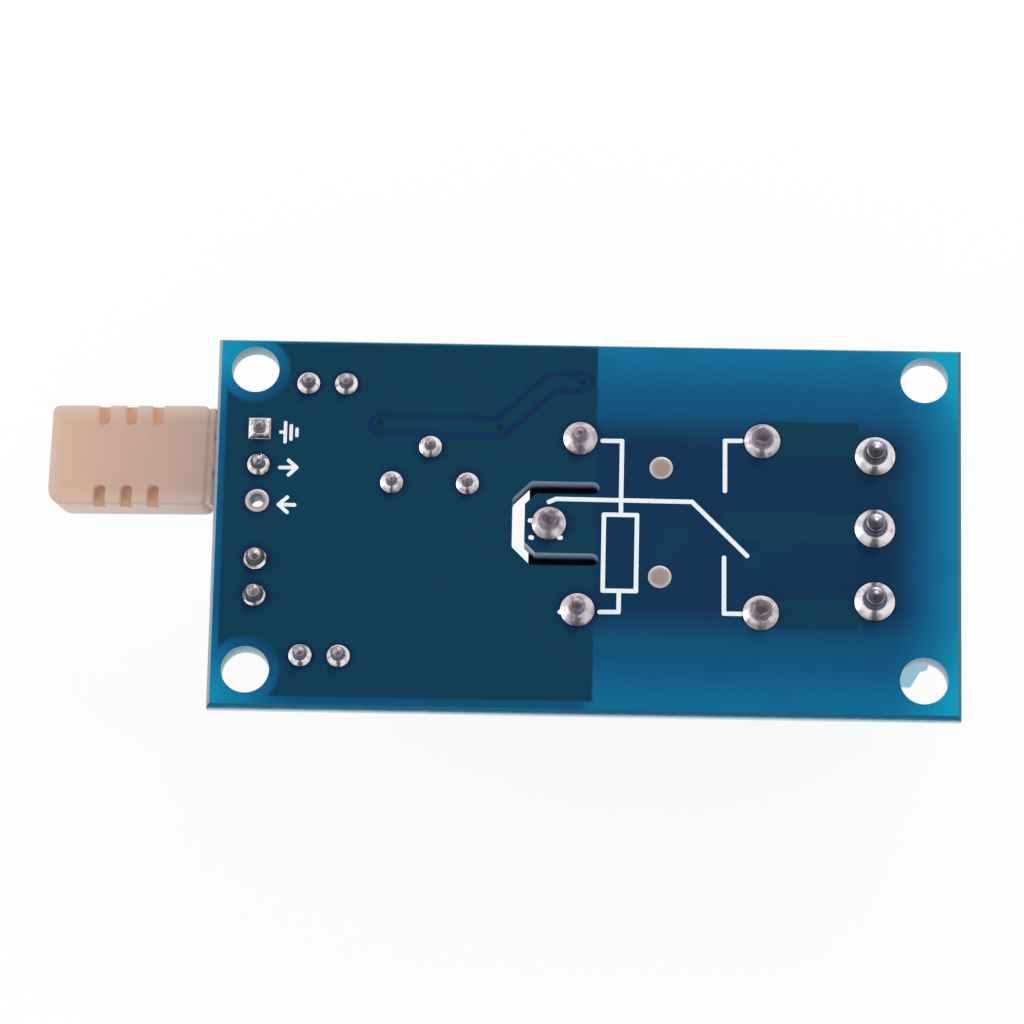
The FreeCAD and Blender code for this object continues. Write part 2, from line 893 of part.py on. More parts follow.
def contact_button(heights):
    """A contact button between two heights."""
    return upright_pin(contact_x, 0.0, (contact_diameter,), level(heights[1]), level(heights[0]))


def make_relay_contact(side, strip_low, button_side):
    """A fixed contact: its pin up the case's wall, a strip to the middle and a button."""
    thickness = contact_strip_thickness
    outer = side * (relay_pin_y + relay_pin_thickness / 2.0)
    inner = side * (relay_pin_y - relay_pin_thickness / 2.0)
    reach = -side * contact_strip_overhang
    points = [
        (outer, relay_base_high + pin_fit),
        (inner, relay_base_high + pin_fit),
        (inner, strip_low),
        (reach, strip_low),
        (reach, strip_low + thickness),
        (outer, strip_low + thickness),
    ]
    strip = end_profile(points, around(contact_x, contact_strip_width))
    index = 3 if side > 0 else 4
    place, section, joint, _ = pin_table["relay"][index]
    pin = pointed_pin(place[0], place[1], section, level(relay_base_high + thickness), pin_tip(joint))
    face = strip_low if button_side < 0 else strip_low + thickness
    button = contact_button(sorted((face, face + button_side * contact_height)))
    return joined([strip, pin, button])


def make_terminal_housing():
    """The moulded housing: three chambers open below, wire funnels in front, screw wells on top."""
    half = pole_count * pole_pitch / 2.0
    back = terminal_back_x
    front = terminal_front_x
    points = [
        (back, 0.0),
        (front, 0.0),
        (front, terminal_front_step),
        (front - terminal_front_lean / 2.0, terminal_front_step + terminal_front_lean / 2.0),
        (front - terminal_front_lean, terminal_height),
        (back + terminal_back_chamfer, terminal_height),
        (back, terminal_height - terminal_back_chamfer),
    ]
    body = side_profile(points, (-half, half))
    chamber_width = pole_pitch - terminal_partition
    chamber_back = back + terminal_wall
    chamber_front = front - terminal_wall
    chamber_step = terminal_front_step - terminal_wall
    bore = screw_diameter + 2.0 * screw_thread_fit
    well = screw_head_diameter + 2.0 * screw_head_clearance
    cuts = []
    for y in pole_rows:
        y_range = around(y, chamber_width)
        cuts.append(block((chamber_back, chamber_front), y_range, (0.0, chamber_step)))
        cuts.append(block((chamber_back, chamber_upper_front), y_range, (0.0, chamber_top)))
        cuts.append(rod(terminal_pin_x, y, (chamber_top, shelf_high), bore))
        cuts.append(rod(terminal_pin_x, y, (shelf_high, terminal_height), well))
        mouth = funnel_wire(front, y, entry_width, entry_low, entry_high)
        throat = funnel_wire(chamber_front, y, entry_throat_width, entry_throat_low, entry_throat_high)
        cuts.append(Part.makeLoft([mouth, throat], True, True))
    return body.cut(cuts).removeSplitter()


def funnel_wire(x, y, width, low, high):
    """One upright rectangle of a wire entry."""
    half = width / 2.0
    corners = [
        vector(x, y - half, level(low)),
        vector(x, y + half, level(low)),
        vector(x, y + half, level(high)),
        vector(x, y - half, level(high)),
    ]
    return Part.makePolygon(corners + [corners[0]])


def make_terminal_strips():
    """The fixed conductors: pin, floor, back and the tongue that the wire is pressed against."""
    strips = []
    for y in pole_rows:
        tongue_front = terminal_pin_x + tongue_overhang
        points = [
            (terminal_pin_x + terminal_pin_thickness / 2.0, strip_low),
            (terminal_pin_x + terminal_pin_thickness / 2.0, strip_low + strip_thickness),
            (strip_back + strip_thickness, strip_low + strip_thickness),
            (strip_back + strip_thickness, tongue_low),
            (tongue_front, tongue_low),
            (tongue_front, tongue_high),
            (strip_back, tongue_high),
            (strip_back, strip_low),
        ]
        strip = side_profile(points, around(y, strip_width))
        section = (terminal_pin_thickness, terminal_pin_width)
        top = level(strip_low + strip_thickness)
        pin = pointed_pin(terminal_pin_x, y, section, top, pin_tip(joint_terminal))
        strips.append(joined([strip, pin]))
    return Part.makeCompound(strips)


def make_terminal_clamp(y):
    """The rising cage: a loop round the tongue with the screw's thread in its top."""
    x_range = around(terminal_pin_x, clamp_depth)
    outer = block(x_range, around(y, clamp_width), (clamp_low, clamp_high))
    inner_y = around(y, clamp_width - 2.0 * clamp_wall)
    hollow = block(x_range, inner_y, (clamp_inner_low, clamp_top_low))
    cage = outer.cut(hollow)
    bore = screw_diameter + 2.0 * screw_thread_fit
    return cage.cut(rod(terminal_pin_x, y, (clamp_top_low, clamp_high), bore))


def make_terminal_screw(y):
    """The clamping screw, its slotted head on the housing's shelf and its tip on the tongue."""
    tip = tongue_high + screw_tip_gap
    shank = screw_diameter / 2.0
    head = screw_head_diameter / 2.0
    head_high = shelf_high + screw_head_height
    points = [
        (0.0, tip),
        (shank, tip),
        (shank, shelf_high),
        (head, shelf_high),
        (head, head_high - screw_chamfer),
        (head - screw_chamfer, head_high),
        (0.0, head_high),
    ]
    screw = turned(terminal_pin_x, y, points)
    slot = block(
        around(terminal_pin_x, screw_slot_width),
        around(y, screw_head_diameter),
        (head_high - screw_slot_depth, head_high),
    )
    return screw.cut(slot)


def trimmer_levels():
    """The trimmer's levels: base, cavity floor, cavity roof, rotor flange."""
    base_low = trimmer_stand_off + trimmer_base_recess
    base_high = base_low + trimmer_base_thickness
    cavity_high = trimmer_height - trimmer_roof
    return base_low, base_high, cavity_high


def make_trimmer_body():
    """The moulded body: feet, a recess for the base, a cavity and the rotor's bore."""
    base_low, base_high, cavity_high = trimmer_levels()
    x_out = around(trimmer_x, trimmer_width)
    y_out = around(trimmer_y, trimmer_depth)
    body = block(x_out, y_out, (trimmer_stand_off, trimmer_height))
    body = body.makeFillet(trimmer_corner_radius, upright_edges(body))
    x_in = around(trimmer_x, trimmer_width - 2.0 * trimmer_wall)
    y_in = around(trimmer_y, trimmer_depth - 2.0 * trimmer_wall)
    cuts = [
        block(x_in, y_in, (trimmer_stand_off, base_high)),
        rod(trimmer_x, trimmer_y, (base_high, cavity_high), trimmer_cavity_diameter),
        rod(trimmer_x, trimmer_y, (cavity_high, trimmer_height), rotor_diameter + 2.0 * rotor_fit),
    ]
    body = body.cut(cuts)
    feet = []
    for x0 in (x_out[0] + trimmer_corner_radius, x_out[1] - trimmer_corner_radius - trimmer_wall):
        for y0 in (y_out[0], y_out[1] - trimmer_wall):
            feet.append(block((x0, x0 + trimmer_wall), (y0, y0 + trimmer_wall), (0.0, trimmer_stand_off)))
    return joined([body] + feet)


def make_trimmer_base():
    """The ceramic base that carries the pins and the track."""
    base_low, base_high, _ = trimmer_levels()
    inset = trimmer_wall + trimmer_base_fit
    x_range = around(trimmer_x, trimmer_width - 2.0 * inset)
    y_range = around(trimmer_y, trimmer_depth - 2.0 * inset)
    plate = block(x_range, y_range, (base_low, base_high))
    section = (trimmer_pin_diameter,)
    cuts = [
        upright_pin(x, y, section, level(base_high), level(base_low), solder_fit)
        for x, y in trimmer_places()
    ]
    return plate.cut(cuts)


def make_trimmer_pins():
    """The three pins of the trimmer."""
    _, base_high, _ = trimmer_levels()
    section = (trimmer_pin_diameter,)
    return Part.makeCompound(
        [pointed_pin(x, y, section, level(base_high), pin_tip(joint_small)) for x, y in trimmer_places()]
    )


def make_trimmer_track():
    """The horseshoe of resistive film, open towards the far side from the wiper's pin."""
    _, base_high, _ = trimmer_levels()
    heights = (base_high, base_high + track_thickness)
    ring = rod(trimmer_x, trimmer_y, heights, 2.0 * track_outer_radius)
    ring = ring.cut(rod(trimmer_x, trimmer_y, heights, 2.0 * track_inner_radius))
    reach = 2.0 * track_outer_radius
    spread = reach * math.tan(math.radians(track_gap_deg / 2.0))
    wedge = plan_profile(
        [
            (trimmer_x, trimmer_y),
            (trimmer_x - spread, trimmer_y + reach),
            (trimmer_x + spread, trimmer_y + reach),
        ],
        heights,
    )
    return ring.cut(wedge)


def make_trimmer_rotor():
    """The rotor: a flange under the roof, a knob through it and a cross slot with one long arm."""
    _, _, cavity_high = trimmer_levels()
    flange_high = cavity_high - rotor_gap
    flange_low = flange_high - rotor_flange_thickness
    top = trimmer_height + rotor_proud
    points = [
        (0.0, flange_low),
        (rotor_flange_diameter / 2.0, flange_low),
        (rotor_flange_diameter / 2.0, flange_high),
        (rotor_diameter / 2.0, flange_high),
        (rotor_diameter / 2.0, top),
        (0.0, top),
    ]
    rotor = turned(trimmer_x, trimmer_y, points)
    heights = (top - rotor_slot_depth, top)
    long_arm = block(
        around(trimmer_x, rotor_slot_width),
        (trimmer_y - rotor_diameter, trimmer_y + rotor_slot_length / 2.0),
        heights,
    )
    cross_arm = block(
        around(trimmer_x, rotor_slot_length),
        around(trimmer_y, rotor_slot_width),
        heights,
    )
    return rotor.cut([long_arm, cross_arm])


def make_trimmer_wiper():
    """The contact spring under the rotor: a middle disc and an arm down to the track."""
    _, base_high, cavity_high = trimmer_levels()
    under = cavity_high - rotor_gap - rotor_flange_thickness
    foot_low = base_high + track_thickness + wiper_lift
    points = [
        (trimmer_y + wiper_width, under),
        (trimmer_y + wiper_width, under - wiper_thickness),
        (trimmer_y - track_inner_radius, under - wiper_thickness),
        (trimmer_y - track_inner_radius, foot_low),
        (trimmer_y - track_outer_radius, foot_low),
        (trimmer_y - track_outer_radius, foot_low + wiper_thickness),
        (trimmer_y - track_inner_radius - wiper_thickness, foot_low + wiper_thickness),
        (trimmer_y - track_inner_radius - wiper_thickness, under),
    ]
    return end_profile(points, around(trimmer_x, wiper_width))


def make_header_block():
    """The header's insulator, with its corners cut between the ways."""
    half = header_pitch / 2.0
    plans = []
    for x, y in header_places():
        cut = header_chamfer
        corners = [
            (x - half, y - half + cut),
            (x - half + cut, y - half),
            (x + half - cut, y - half),
            (x + half, y - half + cut),
            (x + half, y + half - cut),
            (x + half - cut, y + half),
            (x - half + cut, y + half),
            (x - half, y + half - cut),
        ]
        way = plan_profile(corners, (0.0, header_height))
        side = header_pin_side
        plans.append(way.cut(upright_pin(x, y, (side, side), level(header_height), level(0.0), solder_fit)))
    return joined(plans)


def make_header_pins():
    """The header's square pins, pointed at both ends."""
    pins = []
    for x, y in header_places():
        low = level(header_pin_reach)
        pin = pointed_pin(x, y, (header_pin_side, header_pin_side), low, pin_tip(joint_small))
        pins.append(pin.makeChamfer(pin_tip_chamfer, edges_at(pin, low)))
    return Part.makeCompound(pins)


sensor_turn = FreeCAD.Rotation(sensor_yaw_deg, -sensor_droop_deg, sensor_roll_deg)
sensor_placement = FreeCAD.Placement(vector(sensor_x, sensor_y, sensor_z), sensor_turn)
sensor_axis = sensor_turn.multVec(vector(1, 0, 0))


def on_sensor(shape):
    """Moves a shape drawn on the sensor's own axes to where the sensor hangs."""
    copy = shape.copy()
    copy.Placement = sensor_placement.multiply(copy.Placement)
    return copy


def sensor_box(x_range, y_range, z_range):
    """A straight block on the sensor's own axes."""
    size = (x_range[1] - x_range[0], y_range[1] - y_range[0], z_range[1] - z_range[0])
    return Part.makeBox(size[0], size[1], size[2], vector(x_range[0], y_range[0], z_range[0]))


def make_sensor_case():
    """The vented case: a rounded shell open at its lead end, with slots over both long edges."""
    half_length = sensor_length / 2.0
    half_width = sensor_width / 2.0
    shell = sensor_box((-half_length, half_length), (-half_width, half_width), (-sensor_thickness, 0.0))
    for side, radius in zip((-1, 1), sensor_tip_radii):
        tip_edges = [
            edge for edge in upright_edges(shell)
            if edge.Vertexes[0].X < touch - half_length and edge.Vertexes[0].Y * side > half_width - touch
        ]
        shell = shell.makeFillet(radius, tip_edges)
    end_edges = [edge for edge in upright_edges(shell) if edge.Vertexes[0].X > half_length - touch]
    shell = shell.makeFillet(sensor_end_radius, end_edges)
    for z in (0.0, -sensor_thickness):
        shell = shell.makeChamfer(sensor_edge_bevel, edges_at(shell, z))
    inner_x = (-half_length + sensor_wall, half_length)
    inner_y = (-half_width + sensor_wall, half_width - sensor_wall)
    inner_z = (-sensor_thickness + sensor_wall, -sensor_wall)
    cuts = [sensor_box(inner_x, inner_y, inner_z)]
    for index in range(sensor_slot_count):
        middle = (index - (sensor_slot_count - 1) / 2.0) * sensor_slot_pitch
        x_range = around(middle, sensor_slot_width)
        z_range = (-sensor_slot_drop, 0.0)
        cuts.append(sensor_box(x_range, (-half_width, -half_width + sensor_slot_reach), z_range))
        cuts.append(sensor_box(x_range, (half_width - sensor_slot_reach, half_width), z_range))
    return on_sensor(shell.cut(cuts))


def sensor_lead_points(place):
    """A lead's centre line: out of the case, one bend, then up through its pad."""
    depth = -sensor_thickness / 2.0
    mid = sensor_placement.multVec(vector(0.0, 0.0, depth))
    run = (place[0] - mid.x) / sensor_axis.x
    corner = vector(place[0], place[1], mid.z + sensor_axis.z * run)
    rise = vector(0, 0, 1)
    back = sensor_axis * -1.0
    angle = math.pi - back.getAngle(rise)
    setback = sensor_lead_bend * math.tan(angle / 2.0)
    inward = (back + rise).normalize()
    middle = corner + inward * (sensor_lead_bend / math.cos(angle / 2.0) - sensor_lead_bend)
    buried = run - sensor_length / 2.0 + sensor_cap_plug + sensor_lead_overlap
    return [
        corner + back * buried,
        corner + back * setback,
        middle,
        corner + rise * setback,
        vector(place[0], place[1], pin_tip(joint_small)),
    ]


def lead_section(start, radius):
    """The many-sided section of a lead where it starts inside the case."""
    corners = polygon_points(start, sensor_axis, vector(0, 0, 1), radius, wire_sides)
    return Part.makePolygon(corners + [corners[0]])


def make_sensor_leads():
    """The two bent leads."""
    leads = []
    for place in sensor_places():
        points = sensor_lead_points(place)
        section = lead_section(points[0], sensor_lead_diameter / 2.0)
        leads.append(Part.makePolygon(points).makePipeShell([section], True, False, 1))
    return Part.makeCompound(leads)


def lead_tunnels():
    """The ways that the leads need through the cap and into the element."""
    tunnels = []
    reach = sensor_cap_plug + sensor_lead_overlap + sensor_cap_collar + sensor_lead_bend
    for place in sensor_places():
        start = sensor_lead_points(place)[0]
        section = lead_section(start, sensor_lead_diameter / 2.0 + solder_fit)
        tunnels.append(Part.Face(section).extrude(sensor_axis * reach))
    return tunnels


def make_sensor_cap():
    """The cap: a plug in the case's open end and a collar that the leads leave through."""
    half_length = sensor_length / 2.0
    half_width = sensor_width / 2.0
    inner = sensor_wall + sensor_cap_fit
    plug = sensor_box(
        (half_length - sensor_cap_plug, half_length),
        (-half_width + inner, half_width - inner),
        (-sensor_thickness + inner, -inner),
    )
    collar = sensor_box(
        (half_length, half_length + sensor_cap_collar),
        (-half_width + sensor_cap_inset, half_width - sensor_cap_inset),
        (-sensor_thickness + sensor_cap_inset, -sensor_cap_inset),
    )
    cap = on_sensor(joined([plug, collar]))
    return cap.cut(lead_tunnels())


def make_sensor_element():
    """The sensing plate on the ends of the leads."""
    half_length = sensor_length / 2.0
    end = half_length - sensor_cap_plug - sensor_element_gap
    middle = -sensor_thickness / 2.0
    plate = sensor_box(
        (end - sensor_element_length, end),
        around(0.0, sensor_element_width),
        around(middle, sensor_element_thickness),
    )
    return on_sensor(plate).cut(lead_tunnels())


def make_lamp_leads():
    """The lamps' leads: a post on one side and an anvil with its cup on the other."""
    leads = []
    for index in range(len(lamp_centres)):
        pair = lamp_places()[2 * index:2 * index + 2]
        section = (lamp_lead_side, lamp_lead_side)
        post_top = lamp_stand_off + lamp_post_height
        cup_top = lamp_stand_off + lamp_cup_height
        post_x, y = pair[0]
        anvil_x = pair[1][0]
        tip = pin_tip(joint_small)
        post = pointed_pin(post_x, y, section, level(post_top), tip)
        stem = pointed_pin(anvil_x, y, section, level(post_top), tip)
        arm_x = (anvil_x + lamp_lead_side / 2.0 - lamp_cup_width, anvil_x + lamp_lead_side / 2.0)
        arm = block(arm_x, around(y, lamp_lead_side), (post_top, cup_top))
        leads.append([post, joined([stem, arm])])
    return leads


def make_lamp_lens(index):
    """A moulded lamp body: flange with its flat, barrel and dome, closed round its leads."""
    x, y = lamp_centres[index]
    radius = lamp_diameter / 2.0
    flange = lamp_flange_diameter / 2.0
    low = lamp_stand_off
    shoulder = low + lamp_height - radius
    dome = []
    for step in range(1, lens_dome_steps + 1):
        angle = math.pi / 2.0 * step / (lens_dome_steps + 0.5)
        dome.append((radius * math.cos(angle), level(shoulder + radius * math.sin(angle))))
    dome.reverse()
    bulb = many_sided(x, y, dome + [(radius, level(shoulder)), (radius, level(low))], lens_sides)
    rim_top = low + lamp_flange_height
    rim = many_sided(x, y, [(flange, level(rim_top)), (flange, level(low))], lens_sides)
    flat_x = x + flange - lamp_flange_flat
    flat = block((flat_x, flat_x + flange), around(y, lamp_flange_diameter), (low, rim_top))
    lens = joined([rim.cut(flat), bulb])
    return lens.cut(make_lamp_leads()[index])


def gull_lead(outer, inner, foot, height, thickness, direction):
    """The (offset, height) outline of a gull-wing lead, towards +1 or -1."""
    bend = outer - foot
    points = [
        (outer, 0.0),
        (outer, thickness),
        (bend, thickness),
        (bend, height + thickness),
        (inner, height + thickness),
        (inner, height),
        (bend - thickness, height),
        (bend - thickness, 0.0),
    ]
    return [(direction * offset, h) for offset, h in points]


def package_body(x, y, size, stand_off, height, draft):
    """A moulded package with drafted sides above and below its parting plane."""
    middle = (stand_off + height) / 2.0
    full = (around(x, size[0]), around(y, size[1]))
    slim = (around(x, size[0] - 2.0 * draft), around(y, size[1] - 2.0 * draft))
    low = rectangle_wire(slim[0], slim[1], level(stand_off))
    waist = rectangle_wire(full[0], full[1], level(middle))
    high = rectangle_wire(slim[0], slim[1], level(height))
    halves = [Part.makeLoft([low, waist], True, True), Part.makeLoft([waist, high], True, True)]
    return joined(halves)


def make_chip_body():
    """The eight-lead package with its first-lead dimple."""
    body = package_body(chip_x, chip_y, (chip_length, chip_width), chip_stand_off, chip_height, chip_draft)
    mark_x = chip_x - chip_length / 2.0 + 2.5 * chip_mark_radius
    mark_y = chip_y - chip_width / 2.0 + 2.5 * chip_mark_radius
    mark_low = level(chip_height)
    dimple = upright_pin(mark_x, mark_y, (2.0 * chip_mark_radius,), mark_low, mark_low + chip_mark_depth)
    return body.cut(dimple)


def make_chip_leads():
    """Two rows of gull-wing leads."""
    middle = (chip_stand_off + chip_height) / 2.0
    leads = []
    for direction in (-1, 1):
        outline = gull_lead(
            chip_lead_span / 2.0, chip_width / 2.0, chip_lead_foot, middle, chip_lead_thickness, direction
        )
        for index in range(chip_lead_count):
            x = chip_x + (index - (chip_lead_count - 1) / 2.0) * chip_lead_pitch
            points = [(chip_y + offset, h) for offset, h in outline]
            leads.append(end_profile(points, around(x, chip_lead_width)))
    return Part.makeCompound(leads)


def make_transistor_body():
    """The three-lead package."""
    size = (transistor_length, transistor_width)
    return package_body(
        transistor_x, transistor_y, size, chip_stand_off, transistor_height, chip_draft / 2.0
    )


def make_transistor_leads():
    """One lead on one long side and two on the other."""
    middle = (chip_stand_off + transistor_height) / 2.0
    leads = []
    for direction, offsets in ((1, (0.0,)), (-1, (-transistor_lead_pitch, transistor_lead_pitch))):
        outline = gull_lead(
            transistor_lead_span / 2.0,
            transistor_width / 2.0,
            transistor_lead_foot,
            middle,
            transistor_lead_thickness,
            direction,
        )
        for offset_x in offsets:
            points = [(transistor_y + offset, h) for offset, h in outline]
            leads.append(end_profile(points, around(transistor_x + offset_x, transistor_lead_width)))
    return Part.makeCompound(leads)


def make_diode_body():
    """The two-lead package, standing along Y."""
    size = (diode_width, diode_length)
    return package_body(diode_x, diode_y, size, chip_stand_off, diode_height, chip_draft / 2.0)


def make_diode_leads():
    """One lead at each end."""
    middle = (chip_stand_off + diode_height) / 2.0
    outer = diode_lead_span / 2.0
    inner = diode_length / 2.0
    leads = []
    for direction in (-1, 1):
        outline = gull_lead(outer, inner, diode_lead_foot, middle, diode_lead_thickness, direction)
        points = [(diode_y + offset, h) for offset, h in outline]
        leads.append(end_profile(points, around(diode_x, diode_lead_width)))
    return Part.makeCompound(leads)


def chip_part(place, size, cap):
    """The body and the two end caps of a chip resistor or capacitor."""
    x, y, turn = place
    length, width, height = size
    skin = end_cap_skin
    body = block(
        around(x, length - 2.0 * cap),
        around(y, width - 2.0 * skin),
        (skin, height - skin),
    )
    ends = []
    for side in (-1, 1):
        middle = x + side * (length - cap) / 2.0
        ends.append(block(around(middle, cap), around(y, width), (0.0, height)))
    shapes = [body] + ends
    for shape in shapes:
        shape.rotate(vector(x, y, 0), vector(0, 0, 1), turn)
    return body, ends


def make_chip_parts(places, size, cap):
    """All bodies and all end caps of one kind of chip part."""
    bodies = []
    ends = []
    for place in places:
        body, caps = chip_part(place, size, cap)
        bodies.append(body)
        ends += caps
    return Part.makeCompound(bodies), Part.makeCompound(ends)


def main():
    """Builds every subcomponent and writes it."""
    os.makedirs("parts", exist_ok=True)
    save("circuit_board", make_board())
    save("pads", make_pads())
    for group in pin_table:
        save("solder_%s" % group, make_solder(group))

    save("relay_cover", make_relay_cover())
    save("relay_base", make_relay_base())
    save("relay_yoke", make_relay_yoke())
    save("relay_core", make_relay_core())
    save("relay_bobbin", make_relay_bobbin())
    save("relay_winding", make_relay_winding())
    save("relay_coil_pins", make_relay_coil_pins())
    save("relay_common_terminal", make_relay_heel())
    save("relay_armature", make_relay_armature())
    save("relay_contact_blade", make_relay_blade())
    save("relay_closed_terminal", make_relay_contact(1, closed_low, -1))
    save("relay_open_terminal", make_relay_contact(-1, open_low, 1))

    save("terminal_housing", make_terminal_housing())
    save("terminal_strips", make_terminal_strips())
    for index, y in enumerate(pole_rows):
        save("terminal_clamp_%d" % (index + 1), make_terminal_clamp(y))
        save("terminal_screw_%d" % (index + 1), make_terminal_screw(y))

    save("trimmer_body", make_trimmer_body())
    save("trimmer_base", make_trimmer_base())
    save("trimmer_pins", make_trimmer_pins())
    save("trimmer_track", make_trimmer_track())
    save("trimmer_rotor", make_trimmer_rotor())
    save("trimmer_wiper", make_trimmer_wiper())

    save("header_block", make_header_block())
    save("header_pins", make_header_pins())

    save("sensor_case", make_sensor_case())
    save("sensor_cap", make_sensor_cap())
    save("sensor_element", make_sensor_element())
    save("sensor_leads", make_sensor_leads())

    names = ("upper", "lower")
    for index, name in enumerate(names):
        save("lamp_lens_%s" % name, make_lamp_lens(index))
        save("lamp_leads_%s" % name, Part.makeCompound(make_lamp_leads()[index]))

    save("chip_body", make_chip_body())
    save("chip_leads", make_chip_leads())
    save("transistor_body", make_transistor_body())
    save("transistor_leads", make_transistor_leads())
    save("diode_body", make_diode_body())
    save("diode_leads", make_diode_leads())
    resistor_bodies, resistor_ends = make_chip_parts(resistor_places, resistor_size, resistor_cap)
    save("resistor_bodies", resistor_bodies)
    save("resistor_ends", resistor_ends)
    capacitor_bodies, capacitor_ends = make_chip_parts(capacitor_places, capacitor_size, capacitor_cap)
    save("capacitor_bodies", capacitor_bodies)
    save("capacitor_ends", capacitor_ends)


main()
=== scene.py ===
"""Looks of the relay switch module: it lies on its relay with the solder side up."""

import json
import logging
import math
from collections.abc import Callable, Iterable
from dataclasses import dataclass, field
from enum import Enum
from functools import reduce

import bmesh
import bpy
from mathutils import Euler, Matrix, Vector

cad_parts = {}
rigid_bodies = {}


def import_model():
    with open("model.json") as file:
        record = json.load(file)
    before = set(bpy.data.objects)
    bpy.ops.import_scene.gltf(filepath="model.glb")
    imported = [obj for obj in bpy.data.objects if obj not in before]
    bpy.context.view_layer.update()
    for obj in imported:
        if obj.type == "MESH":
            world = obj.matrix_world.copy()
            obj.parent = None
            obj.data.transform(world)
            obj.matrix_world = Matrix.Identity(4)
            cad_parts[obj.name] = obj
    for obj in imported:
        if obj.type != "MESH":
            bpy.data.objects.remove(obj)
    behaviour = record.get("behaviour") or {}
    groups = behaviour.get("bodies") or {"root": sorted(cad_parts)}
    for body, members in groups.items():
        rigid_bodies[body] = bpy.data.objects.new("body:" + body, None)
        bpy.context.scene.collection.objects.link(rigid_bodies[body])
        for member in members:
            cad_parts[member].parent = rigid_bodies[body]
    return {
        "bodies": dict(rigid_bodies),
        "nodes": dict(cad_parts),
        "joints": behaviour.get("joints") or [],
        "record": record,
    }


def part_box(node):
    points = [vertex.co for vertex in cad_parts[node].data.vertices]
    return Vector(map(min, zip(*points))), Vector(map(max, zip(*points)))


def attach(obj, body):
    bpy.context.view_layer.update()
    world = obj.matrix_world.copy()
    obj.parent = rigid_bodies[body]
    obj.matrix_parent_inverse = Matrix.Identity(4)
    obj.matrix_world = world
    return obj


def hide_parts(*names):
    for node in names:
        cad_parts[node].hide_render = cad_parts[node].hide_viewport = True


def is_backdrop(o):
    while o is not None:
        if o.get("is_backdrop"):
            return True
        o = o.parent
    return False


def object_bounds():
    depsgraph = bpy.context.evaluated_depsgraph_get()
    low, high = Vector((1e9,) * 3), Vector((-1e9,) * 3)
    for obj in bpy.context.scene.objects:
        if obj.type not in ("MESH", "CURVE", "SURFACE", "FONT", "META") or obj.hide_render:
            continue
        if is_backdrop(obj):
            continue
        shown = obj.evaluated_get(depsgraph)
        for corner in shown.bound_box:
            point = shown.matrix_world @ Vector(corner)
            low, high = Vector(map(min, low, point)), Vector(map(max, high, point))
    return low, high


MM = 0.001
LOG = logging.getLogger("module")

Pair = tuple[float, float]
Triple = tuple[float, float, float]
Line = tuple[Pair, ...]
Stops = tuple[tuple[float, Triple], ...]
Circles = tuple[tuple[float, Line], ...]
Node = bpy.types.Node
Socket = bpy.types.NodeSocket
Material = bpy.types.Material
Value = float | tuple[float, ...] | Socket
Thing = bpy.types.Object

WHITE = (1.0, 1.0, 1.0, 1.0)
FLAT = (1.0, 1.0, 0.0)


def linear(colour: Triple) -> tuple[float, float, float, float]:
    """Turns a colour as a screen shows it into the shader's own.

    Args:
        colour: Red, green and blue from 0 to 255.

    Returns:
        The linear colour with full opacity.
    """
    shares = [part / 255.0 for part in colour]
    return (*(share / 12.92 if share <= 0.04045 else ((share + 0.055) / 1.055) ** 2.4 for share in shares), 1.0)


